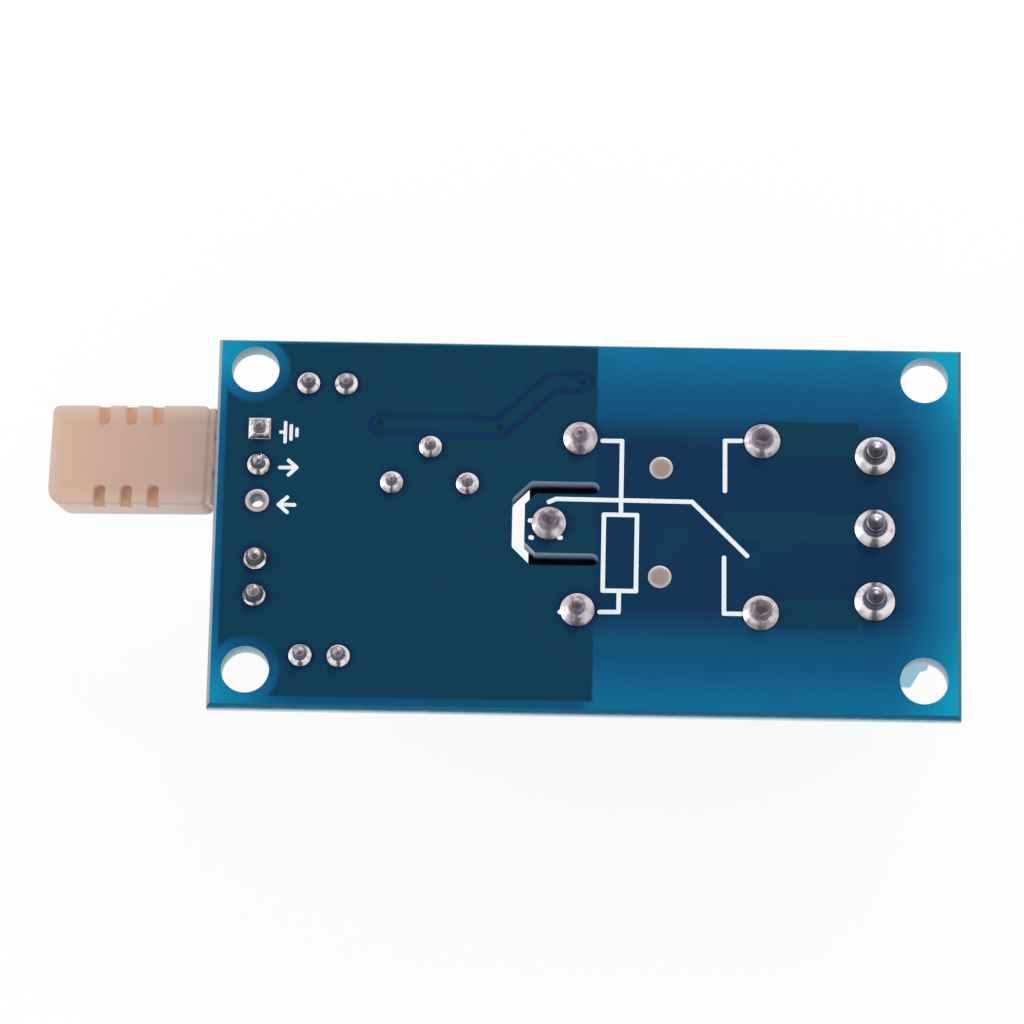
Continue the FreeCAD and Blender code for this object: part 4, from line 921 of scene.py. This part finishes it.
@dataclass
class Shop:
    """What every sub-assembly works with: the frame and the materials made so far."""

    frame: dict
    made: dict[str, Material] = field(default_factory=dict)

    def paint(self, thing: Thing, finish: AnyFinish) -> None:
        """Gives an object one finish in all its slots.

        Args:
            thing: The object.
            finish: The finish, whose material is made at its first use.
        """
        recipe = finish.value if isinstance(finish, Finish) else finish
        if recipe.name not in self.made:
            self.made[recipe.name] = recipe.make()
        if not thing.material_slots:
            thing.data.materials.append(self.made[recipe.name])
        for slot in thing.material_slots:
            slot.material = self.made[recipe.name]

    def coat(self, finish: AnyFinish, *nodes: str) -> None:
        """Gives CAD nodes their finish.

        Args:
            finish: The finish.
            nodes: The nodes' names.
        """
        for node in nodes:
            self.paint(self.frame["nodes"][node], finish)
            LOG.info("dressed %s", node)

    def fit(self, piece: Thing, name: str, finish: AnyFinish, slot: str, *nodes: str) -> None:
        """Names and dresses a finished piece, which rides on the module's body.

        Args:
            piece: The object.
            name: Its name.
            finish: Its finish.
            slot: The record's slot; not used.
            nodes: The CAD nodes that it stands for.
        """
        piece.name = piece.data.name = name
        piece.data.materials.clear()
        self.paint(piece, finish)
        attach(piece, "module")
        if nodes:
            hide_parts(*nodes)
        LOG.info("made %s, %d faces", name, len(piece.data.polygons))


@dataclass(frozen=True)
class Cone:
    """One size of joint: its foot's diameter, the heights of skirt and top, and its crown's radius."""

    foot: float
    skirt: float
    top: float
    crown: float
    lump: float = 0.0
    sides: int = 48
    nib: float = 0.07
    lip: float = 0.02
    waist: float = 1.16
    skirt_rings: int = 6
    neck: Line = ((1.07, 0.14), (1.03, 0.32), (1.0, 0.6))
    shoulder: Line = ((0.97, 0.1), (0.9, 0.04), (0.76, 0.005), (0.52, -0.01))
    point: Line = ((0.38, 0.35), (0.27, 0.68), (0.16, 0.88), (0.06, 1.0))

    def profile(self) -> Line:
        """Its outline: a foot, a skirt that steepens inwards, a neck round the pin and a crown with its nib.

        Returns:
            The radius and height of each ring from the foot up.
        """
        radius = self.foot / 2.0
        inward = radius - self.crown * self.waist
        rings = [(radius * 0.99, 0.0), (radius, self.lip)]
        for step in range(1, self.skirt_rings + 1):
            share = step / self.skirt_rings
            rise = share * (0.8 + 0.2 * share)
            rings.append((radius - inward * share, self.lip + (self.skirt - self.lip) * rise))
        bend = self.top - self.nib
        rings += [(self.crown * share, self.skirt + (bend - self.skirt) * height) for share, height in self.neck]
        rings += [(self.crown * share, bend - drop) for share, drop in self.shoulder]
        rings += [(self.crown * share, bend + self.nib * height) for share, height in self.point]
        return tuple(rings)

    def make(self, place: Pair, seed: int) -> Thing:
        """Makes one joint.

        Args:
            place: Its centre.
            seed: Which unevenness it gets.

        Returns:
            The finished joint.
        """
        joint = Bench.rings((*place, 0.0), self.profile(), self.sides)
        if self.sides == 4:
            middle = Vector((*place, 0.0)) * MM
            quarter = Matrix.Rotation(math.radians(45.0), 4, "Z")
            joint.data.transform(Matrix.Translation(middle) @ quarter @ Matrix.Translation(-middle))
            Bench.bevel(joint, 0.05, 2, lambda first, last: max(first.z, last.z) > 0.1)
        if self.lump:
            Bench.open(joint)
            for vertex in bmesh.from_edit_mesh(joint.data).verts:
                vertex.select_set(vertex.co.z > 0.1 * MM)
            bmesh.update_edit_mesh(joint.data)
            bpy.ops.transform.vertex_random(offset=self.lump * MM, seed=seed)
            bpy.ops.mesh.vertices_smooth(factor=0.5, repeat=3)
            bpy.ops.object.mode_set(mode="OBJECT")
        Bench.smooth(joint, 60.0)
        return joint


class Size(Enum):
    """The sizes of joint on the board."""

    SMALL = Cone(1.52, 0.32, 1.21, 0.3)
    LAMP = Cone(1.52, 0.29, 1.21, 0.38)
    HEADER = Cone(1.52, 0.25, 1.21, 0.49, 0.05)
    ROUGH = Cone(1.5, 0.3, 1.21, 0.36, 0.08)
    SQUARE = Cone(2.1, 0.3, 1.21, 0.5, 0.08, 4)
    COMMON = Cone(2.28, 0.4, 1.46, 0.57)
    COIL = Cone(2.28, 0.46, 1.46, 0.45)
    CONTACT = Cone(2.4, 0.42, 1.51, 0.57, 0.02)
    TERMINAL = Cone(2.68, 0.46, 1.62, 0.67)


@dataclass
class Joints:
    """The solder joints of every component, and the pads that show."""

    shop: Shop
    common: Line = ((-2.55, 0.0),)
    coil: Line = ((-0.55, 6.0), (-0.55, -6.0))
    contacts: Line = ((11.65, 6.0), (11.65, -6.0))
    terminals: Line = ((19.21, 5.08), (19.21, 0.0), (19.21, -5.08))
    trimmer: Line = ((-10.59, 5.22), (-13.13, 2.68), (-8.05, 2.68))
    sensor: Line = ((-22.09, 6.32), (-22.09, 3.78))
    header: Line = ((-22.09, -2.8), (-22.09, -5.34))
    lamps: Line = ((-18.9, 9.58), (-16.36, 9.58), (-18.88, -9.475), (-16.34, -9.475))
    spare: Pair = (-22.09, 1.24)
    spare_bore: float = 0.95
    test_pads: Line = ((4.9, 4.0), (4.9, -3.62))
    test_pad: float = 1.57
    pad_radius: float = 0.8
    square_half: float = 0.75
    square_top: float = 0.055
    pad_profile: Line = ((0.0, 0.0), (0.0, 0.02), (0.05, 0.045), (0.16, 0.055))
    pad_middle: Pair = (0.1, 0.06)
    sides: int = 48

    def group(self, name: str, finish: Finish, *rows: tuple[Size, Line]) -> None:
        """Makes one component's joints as one piece in place of their CAD node.

        Args:
            name: The component.
            finish: The joints' finish.
            rows: Each size of joint and where it stands.
        """
        sized = [(size.value, place) for size, places in rows for place in places]
        made = [cone.make(place, seed) for seed, (cone, place) in enumerate(sized)]
        self.shop.fit(Bench.join(made), f"{name}_joints", finish, "solder", f"solder_{name}")

    def pad(self, place: Pair, diameter: float, bore: float = 0.0) -> Thing:
        """One tinned round pad with a soft rim.

        Args:
            place: Its centre.
            diameter: Its diameter.
            bore: Its hole's diameter, where it has one.

        Returns:
            The finished pad.
        """
        rim = tuple((diameter / 2.0 - inward, height) for inward, height in self.pad_profile)
        disc = Bench.rings((*place, 0.0), (*rim, self.pad_middle), self.sides)
        if bore:
            Bench.cut(disc, Bench.rings((*place, -1.0), ((bore / 2.0, 0.0), (bore / 2.0, 2.0)), self.sides))
        Bench.smooth(disc)
        return disc

    def pads(self) -> None:
        """Makes the square pad, the bare ring and the two test pads."""
        x, y = self.sensor[0]
        half = self.square_half
        square = Bench.block((x - half, y - half, 0.0), (x + half, y + half, self.square_top))
        Bench.bevel(square, 0.04, 2, lambda first, last: min(first.z, last.z) > 0.03)
        Bench.smooth(square)
        discs = [self.pad(place, self.test_pad) for place in self.test_pads]
        discs += [square, self.pad(self.spare, 2.0 * self.pad_radius, self.spare_bore)]
        finish = Pads((*self.test_pads, self.spare, self.sensor[0]), self.pad_radius)
        self.shop.fit(Bench.join(discs), "tinned_pads", finish, "tin", "pads")

    def make(self) -> None:
        """Makes every joint and pad."""
        relay = ((Size.COMMON, self.common), (Size.COIL, self.coil), (Size.CONTACT, self.contacts))
        self.group("relay", Finish.DULL_SOLDER, *relay)
        self.group("terminals", Finish.SOLDER, (Size.TERMINAL, self.terminals))
        self.group("trimmer", Finish.SMALL_SOLDER, (Size.SMALL, self.trimmer))
        self.group("lamps", Finish.SMALL_SOLDER, (Size.LAMP, self.lamps))
        self.group("sensor", Finish.ROUGH_SOLDER, (Size.SQUARE, self.sensor[:1]), (Size.ROUGH, self.sensor[1:]))
        self.group("header", Finish.ROUGH_SOLDER, (Size.HEADER, self.header))
        self.pads()


@dataclass
class Print:
    """The white print: the relay's diagram, the ground symbol and the two arrows."""

    shop: Shop
    step: float = 0.0016
    thickness: float = 0.022
    width: float = 0.3
    diagram: tuple[Line, ...] = (
        ((0.95, 5.85), (2.25, 5.85), (2.25, 0.66)),
        ((1.12, 0.66), (3.33, 0.66), (3.33, -4.64), (1.12, -4.64), (1.12, 0.66)),
        ((2.2, -4.64), (2.2, -6.11), (0.95, -6.13)),
        ((-2.57, 1.48), (-2.1, 1.7), (6.99, 1.65), (10.7, -2.06)),
        ((10.22, 6.0), (9.15, 5.98), (9.18, 2.46)),
        ((9.17, -2.22), (9.2, -6.1), (10.34, -6.1)),
    )
    arrow_width: float = 0.25
    arrows: tuple[Line, ...] = (
        ((-20.64, 3.58), (-19.53, 3.6)),
        ((-20.07, 4.09), (-19.52, 3.6), (-20.05, 3.08)),
        ((-20.65, 0.98), (-19.59, 0.97)),
        ((-20.08, 1.5), (-20.65, 0.98), (-20.07, 0.45)),
    )
    ground_width: float = 0.23
    ground: tuple[Line, ...] = (
        ((-20.36, 5.4), (-20.36, 6.76)),
        ((-19.97, 5.6), (-19.97, 6.54)),
        ((-19.58, 5.86), (-19.58, 6.3)),
        ((-20.66, 6.08), (-20.36, 6.08)),
    )
    marks: tuple[Line, ...] = (
        ((-3.81, 0.16), (-3.73, 0.16)),
        ((-3.75, -1.02), (-3.67, -1.04)),
        ((-1.83, -1.0), (-1.75, -1.0)),
        ((-1.7, -6.18), (-1.62, -6.18)),
    )

    def stroke(self, start: Pair, end: Pair, width: float, order: int) -> Thing:
        """One straight stroke with round ends.

        Args:
            start: Its first end.
            end: Its other end.
            width: Its width.
            order: Its place in the row: each lies a hair higher than the last.

        Returns:
            The finished stroke.
        """
        run = Vector((end[0] - start[0], end[1] - start[1]))
        reach = run.length / 2.0 + width / 2.0
        bar = Bench.block((-reach, -width / 2.0, 0.0), (reach, width / 2.0, self.thickness + self.step * order))
        Bench.bevel(bar, width * 0.42, 3, lambda first, last: abs(first.z - last.z) > 0.5 * self.thickness)
        middle = Vector(((start[0] + end[0]) / 2.0, (start[1] + end[1]) / 2.0, 0.0)) * MM
        bar.data.transform(Matrix.Translation(middle) @ Matrix.Rotation(math.atan2(run.y, run.x), 4, "Z"))
        return bar

    def make(self) -> None:
        """Makes each drawing's strokes as one piece."""
        for name, paths, width in (
                ("relay_diagram_print", self.diagram, self.width), ("arrow_print", self.arrows, self.arrow_width),
                ("ground_print", self.ground, self.ground_width), ("mark_print", self.marks, self.width)):
            ends = [pair for path in paths for pair in zip(path, path[1:])]
            strokes = [self.stroke(start, end, width, order) for order, (start, end) in enumerate(ends)]
            self.shop.fit(Bench.join(strokes), name, Finish.PRINT, "board")


@dataclass
class Board:
    """The board itself: how far copper and mask keep from the joints."""

    shop: Shop
    joints: Joints
    clearances: Pair = (1.12, 1.5)
    opening_radii: tuple[float, ...] = (0.76, 1.14, 1.2, 1.34)

    def make(self) -> None:
        """Dresses the board from the frame's sizes and the joints' places."""
        low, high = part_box("circuit_board")
        centre = ((low.x + high.x) / 2.0 / MM, (low.y + high.y) / 2.0 / MM)
        half = ((high.x - low.x) / 2.0 / MM, (high.y - low.y) / 2.0 / MM)
        pattern = next(mount for mount in self.shop.frame["record"]["mounts"] if mount["kind"] == "bolt_pattern")
        reach_x, reach_y = (pattern["dims"][f"spacing_{axis}_mm"] / 2.0 for axis in "xy")
        holes = tuple((x, y) for x in (-reach_x, reach_x) for y in (-reach_y, reach_y))
        work = self.joints
        small = (*work.trimmer, *work.sensor, *work.header, *work.lamps, work.spare)
        large = (*work.common, *work.coil)
        rings = tuple(zip(self.clearances, (small, large)))
        bared = tuple(place for place in (*small, *work.test_pads) if place != work.sensor[0])
        openings = tuple(zip(self.opening_radii, (bared, large, work.contacts, work.terminals)))
        self.shop.coat(BoardFinish(centre, half, (high.z - low.z) / MM, holes, rings, openings), "circuit_board")


@dataclass
class Sensor:
    """The vented sensor on its bent leads."""

    shop: Shop
    origin: Triple = (-31.05, 5.03, -2.22)
    turn_degrees: Triple = (4.8, -10.0, -2.6)
    size: Triple = (11.0, 6.95, 3.0)
    wall: float = 0.8
    tip_rounds: Pair = (1.2, 0.5)
    end_round: float = 0.5
    edge_round: float = 0.24
    slots: int = 3
    slot_pitch: float = 1.86
    slot_width: float = 0.87
    slot_reach: float = 1.4
    slot_drop: float = 0.7
    slot_floor: float = 0.15
    plug: float = 1.05
    near: float = 0.01

    def slot(self, middle: float, side: int) -> Thing:
        """A cutter for one slot, round at its inner end.

        Args:
            middle: The slot's place along the case.
            side: 1 or -1 for the case's edge.

        Returns:
            The cutter.
        """
        edge = self.size[1] / 2.0
        inner = edge - self.slot_reach
        low_y, high_y = sorted((side * inner, side * (edge + 1.0)))
        half = self.slot_width / 2.0
        cutter = Bench.block((middle - half, low_y, -self.slot_drop), (middle + half, high_y, 1.0))
        Bench.bevel(cutter, half * 0.8, 4, lambda first, last: (
            abs(first.z - last.z) > 1.0 and abs(abs(first.y) - inner) < self.near))
        return cutter

    def rounded(self) -> Thing:
        """The case's solid block with its rounds.

        Returns:
            The block.
        """
        half_x, half_y, depth = self.size[0] / 2.0, self.size[1] / 2.0, self.size[2]
        case = Bench.block((-half_x, -half_y, -depth), (half_x, half_y, 0.0))
        for side, size in zip((-1, 1), self.tip_rounds):
            Bench.bevel(case, size, 8, lambda first, last: (
                abs(first.z - last.z) > 1.0 and first.x < self.near - half_x
                and first.y * side > half_y - self.near))
        Bench.bevel(case, self.end_round, 4, lambda first, last: (
            abs(first.z - last.z) > 1.0 and first.x > half_x - self.near))
        Bench.bevel(case, self.edge_round, 3, lambda first, last: (
            abs(first.z - last.z) < self.near and min(abs(first.z), abs(first.z + depth)) < self.near))
        return case

    def make(self) -> None:
        """Makes the case, hollow and with slots over both long edges, and dresses the rest."""
        half_x, half_y, depth = self.size[0] / 2.0, self.size[1] / 2.0, self.size[2]
        case = self.rounded()
        inner_y = half_y - self.wall
        below = self.wall - depth
        end = half_x - self.plug
        cutters = [
            Bench.block((self.wall - half_x, -inner_y, below), (end, inner_y, -self.slot_drop - self.slot_floor)),
            Bench.block((end - 0.1, -inner_y, below), (half_x + 1.0, inner_y, -self.wall))]
        for index in range(self.slots):
            middle = (index - (self.slots - 1) / 2.0) * self.slot_pitch
            cutters += [self.slot(middle, side) for side in (-1, 1)]
        Bench.cut(case, *cutters)
        Bench.smooth(case)
        turn = Euler([math.radians(angle) for angle in self.turn_degrees], "XYZ").to_matrix()
        case.data.transform(Matrix.Translation(Vector(self.origin) * MM) @ turn.to_4x4())
        finish = Case(self.origin, turn, half_x, half_y)
        self.shop.fit(case, "sensor_case_shell", finish, "sensor_case", "sensor_case")
        self.shop.coat(finish, "sensor_cap")
        self.shop.coat(Finish.CERAMIC, "sensor_element")
        self.shop.coat(Finish.TIN, "sensor_leads")


@dataclass
class Lamps:
    """The two indicator lamps."""

    shop: Shop
    centres: tuple[Pair, Pair] = ((-17.63, 9.58), (-17.61, -9.475))
    board: float = 1.6
    flange: float = 1.9
    radius: float = 1.5
    foot: float = 0.6
    height: float = 5.3
    rim: float = 1.0
    edge: float = 0.06
    flat: float = 0.3
    dome_rings: int = 10
    sides: int = 48

    def lens(self, centre: Pair) -> Thing:
        """One lens: flange with a flat, barrel and dome, hanging under the board.

        Args:
            centre: The lamp's place.

        Returns:
            The finished lens.
        """
        below = -(self.board + self.foot)
        shoulder = self.height - self.radius
        inner = self.flange - self.edge
        profile = [(inner, 0.0), (self.flange, -self.edge), (self.flange, self.edge - self.rim)]
        profile += [(inner, -self.rim), (self.radius, -self.rim - 0.02)]
        for step in range(self.dome_rings):
            angle = math.pi / 2.0 * step / self.dome_rings
            profile.append((self.radius * math.cos(angle), -(shoulder + self.radius * math.sin(angle))))
        lens = Bench.rings((*centre, below), (*profile, (0.02, -self.height)), self.sides)
        x, y = centre[0] + self.flange, centre[1]
        Bench.cut(lens, Bench.block(
            (x - self.flat, y - 3.0, below - self.rim - 0.05), (x + 1.0, y + 3.0, below + 0.5)))
        Bench.smooth(lens)
        return lens

    def make(self) -> None:
        """Makes both lenses and dresses their leads."""
        for name, centre, finish in zip(("upper", "lower"), self.centres, (Finish.RED_LENS, Finish.GREEN_LENS)):
            self.shop.fit(self.lens(centre), f"{name}_lens", finish, finish.name.lower(), f"lamp_lens_{name}")
            self.shop.coat(Finish.TIN, f"lamp_leads_{name}")


@dataclass
class Behind:
    """Every part behind the board that keeps its CAD shape, by its finish."""

    shop: Shop
    coats: tuple[tuple[Finish, str], ...] = (
        (Finish.RELAY_CASE, "relay_cover"),
        (Finish.RELAY_BASE, "relay_base"),
        (Finish.STEEL, "relay_yoke relay_core relay_armature"),
        (Finish.WHITE_PLASTIC, "relay_bobbin trimmer_rotor"),
        (Finish.COPPER, "relay_winding"),
        (Finish.TIN, "relay_coil_pins relay_common_terminal relay_closed_terminal relay_open_terminal"),
        (Finish.TIN, "terminal_strips trimmer_pins header_pins chip_leads transistor_leads"),
        (Finish.TIN, "diode_leads resistor_ends capacitor_ends"),
        (Finish.CONTACT_METAL, "relay_contact_blade trimmer_wiper"),
        (Finish.CONTACT_METAL, "terminal_clamp_1 terminal_clamp_2 terminal_clamp_3"),
        (Finish.STEEL, "terminal_screw_1 terminal_screw_2 terminal_screw_3"),
        (Finish.TERMINAL_CASE, "terminal_housing"),
        (Finish.TRIMMER_CASE, "trimmer_body"),
        (Finish.CERAMIC, "trimmer_base resistor_bodies"),
        (Finish.CARBON_FILM, "trimmer_track"),
        (Finish.BLACK_PLASTIC, "header_block chip_body transistor_body diode_body"),
        (Finish.CAPACITOR_CERAMIC, "capacitor_bodies"),
    )

    def make(self) -> None:
        """Dresses relay, terminals, trimmer, header and chip parts."""
        for finish, nodes in self.coats:
            self.shop.coat(finish, *nodes.split())


@dataclass
class Studio:
    """Floor, lights, background and camera."""

    eye: Triple = (1.651, -116.112, 370.993)
    right: Triple = (0.99971, 0.02135, -0.01127)
    up: Triple = (-0.01698, 0.95358, 0.30065)
    back: Triple = (0.01716, -0.30037, 0.95367)
    lens: float = 204.68
    film: float = 36.0
    reach: Pair = (0.01, 20.0)
    ambient: float = 0.72
    overhead: tuple[float, ...] = (0.35, 0.85, 1.0, 0.1)
    beside: Pair = (0.12, 0.42)
    behind: Pair = (-0.2, 0.1)
    front: float = 0.12
    floor_size: float = 4.0
    floor_gap: float = 1e-6
    floor_white: float = 0.9
    floor_greys: Pair = (0.92, 0.95)

    def camera(self) -> None:
        """Sets the camera where the photograph was taken from."""
        data = bpy.data.cameras.new("camera")
        data.sensor_width = self.film
        data.lens = self.lens
        data.clip_start, data.clip_end = self.reach
        camera = bpy.data.objects.new("camera", data)
        turn = Matrix((self.right, self.up, self.back)).transposed().to_4x4()
        camera.matrix_world = Matrix.Translation(Vector(self.eye) * MM) @ turn
        bpy.context.scene.collection.objects.link(camera)
        bpy.context.scene.camera = camera

    def lamp(self, name: str, place: Triple, side: float, power: float) -> None:
        """A soft square lamp that faces the module.

        Args:
            name: Its name.
            place: Where it hangs, in metres.
            side: Its width and height in metres.
            power: Its power in watts.
        """
        data = bpy.data.lights.new(name, "AREA")
        data.shape = "RECTANGLE"
        data.size = data.size_y = side
        data.energy = power
        lamp = bpy.data.objects.new(name, data)
        lamp.location = place
        lamp.rotation_euler = Vector(place).to_track_quat("Z", "Y").to_euler()
        bpy.context.scene.collection.objects.link(lamp)

    def world(self) -> None:
        """A plain pale room that shows white; a mirror sees it darker overhead and in front."""
        world = bpy.data.worlds.new("room")
        bpy.context.scene.world = world
        world.use_nodes = True
        sums = Sums(world.node_tree)
        x, y, z = sums.parts(sums.node("TexCoord").outputs["Generated"])
        beside = sums.step(sums.math("ABSOLUTE", x), *self.beside)
        around = sums.math("MAXIMUM", beside, sums.step(y, *self.behind))
        shade = sums.times(sums.step(z, *self.overhead), sums.step(around, 0.0, 1.0, self.front, 1.0))
        in_camera = sums.node("LightPath").outputs["Is Camera Ray"]
        light = sums.fill(sums.tree.nodes["Background"], WHITE, self.ambient)
        shown = sums.fill(sums.node("Background"), WHITE, sums.math("MAXIMUM", shade, in_camera))
        mixed = sums.fill(sums.node("MixShader"), sums.seen(), light, shown)
        sums.feed(sums.tree.nodes["World Output"].inputs["Surface"], mixed)

    def floor(self) -> None:
        """A pale floor under the relay that keeps the module's shadow."""
        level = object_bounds()[0][2] - self.floor_gap
        Bench.clear()
        bpy.ops.mesh.primitive_plane_add(size=self.floor_size, location=(0.0, 0.0, level))
        floor = bpy.context.object
        floor.name = "floor"
        graph = Graph("floor_finish")
        colours = [(grey, grey, grey, 1.0) for grey in self.floor_greys]
        colour = graph.mix(graph.noise(0.02, 2.0), *colours)
        graph.put(graph.shader, Base_Color=colour, Roughness=0.9, Specular_IOR_Level=0.1)
        glow = graph.fill(graph.node("Emission"), WHITE, 1.0)
        share = graph.times(graph.seen(), self.floor_white)
        mixed = graph.fill(graph.node("MixShader"), share, graph.shader.outputs[0], glow)
        graph.feed(graph.tree.nodes["Material Output"].inputs["Surface"], mixed)
        floor.data.materials.append(graph.material)
        floor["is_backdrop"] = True

    def make(self) -> None:
        """Sets up the whole studio."""
        self.camera()
        self.world()
        self.floor()
        self.lamp("window_lamp", (0.1, 0.36, 0.36), 0.14, 0.75)
        self.lamp("fill_lamp", (-0.42, 0.05, 0.3), 0.25, 0.5)
        bpy.context.scene.view_settings.view_transform = "Standard"


def main() -> None:
    """Builds the looks on the frame."""
    logging.basicConfig(level=logging.INFO, format="%(message)s")
    shop = Shop(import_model())
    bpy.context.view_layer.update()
    joints = Joints(shop)
    for assembly in (Studio(), joints, Print(shop), Board(shop, joints), Sensor(shop), Lamps(shop), Behind(shop)):
        assembly.make()


if __name__ == "__main__":
    main()
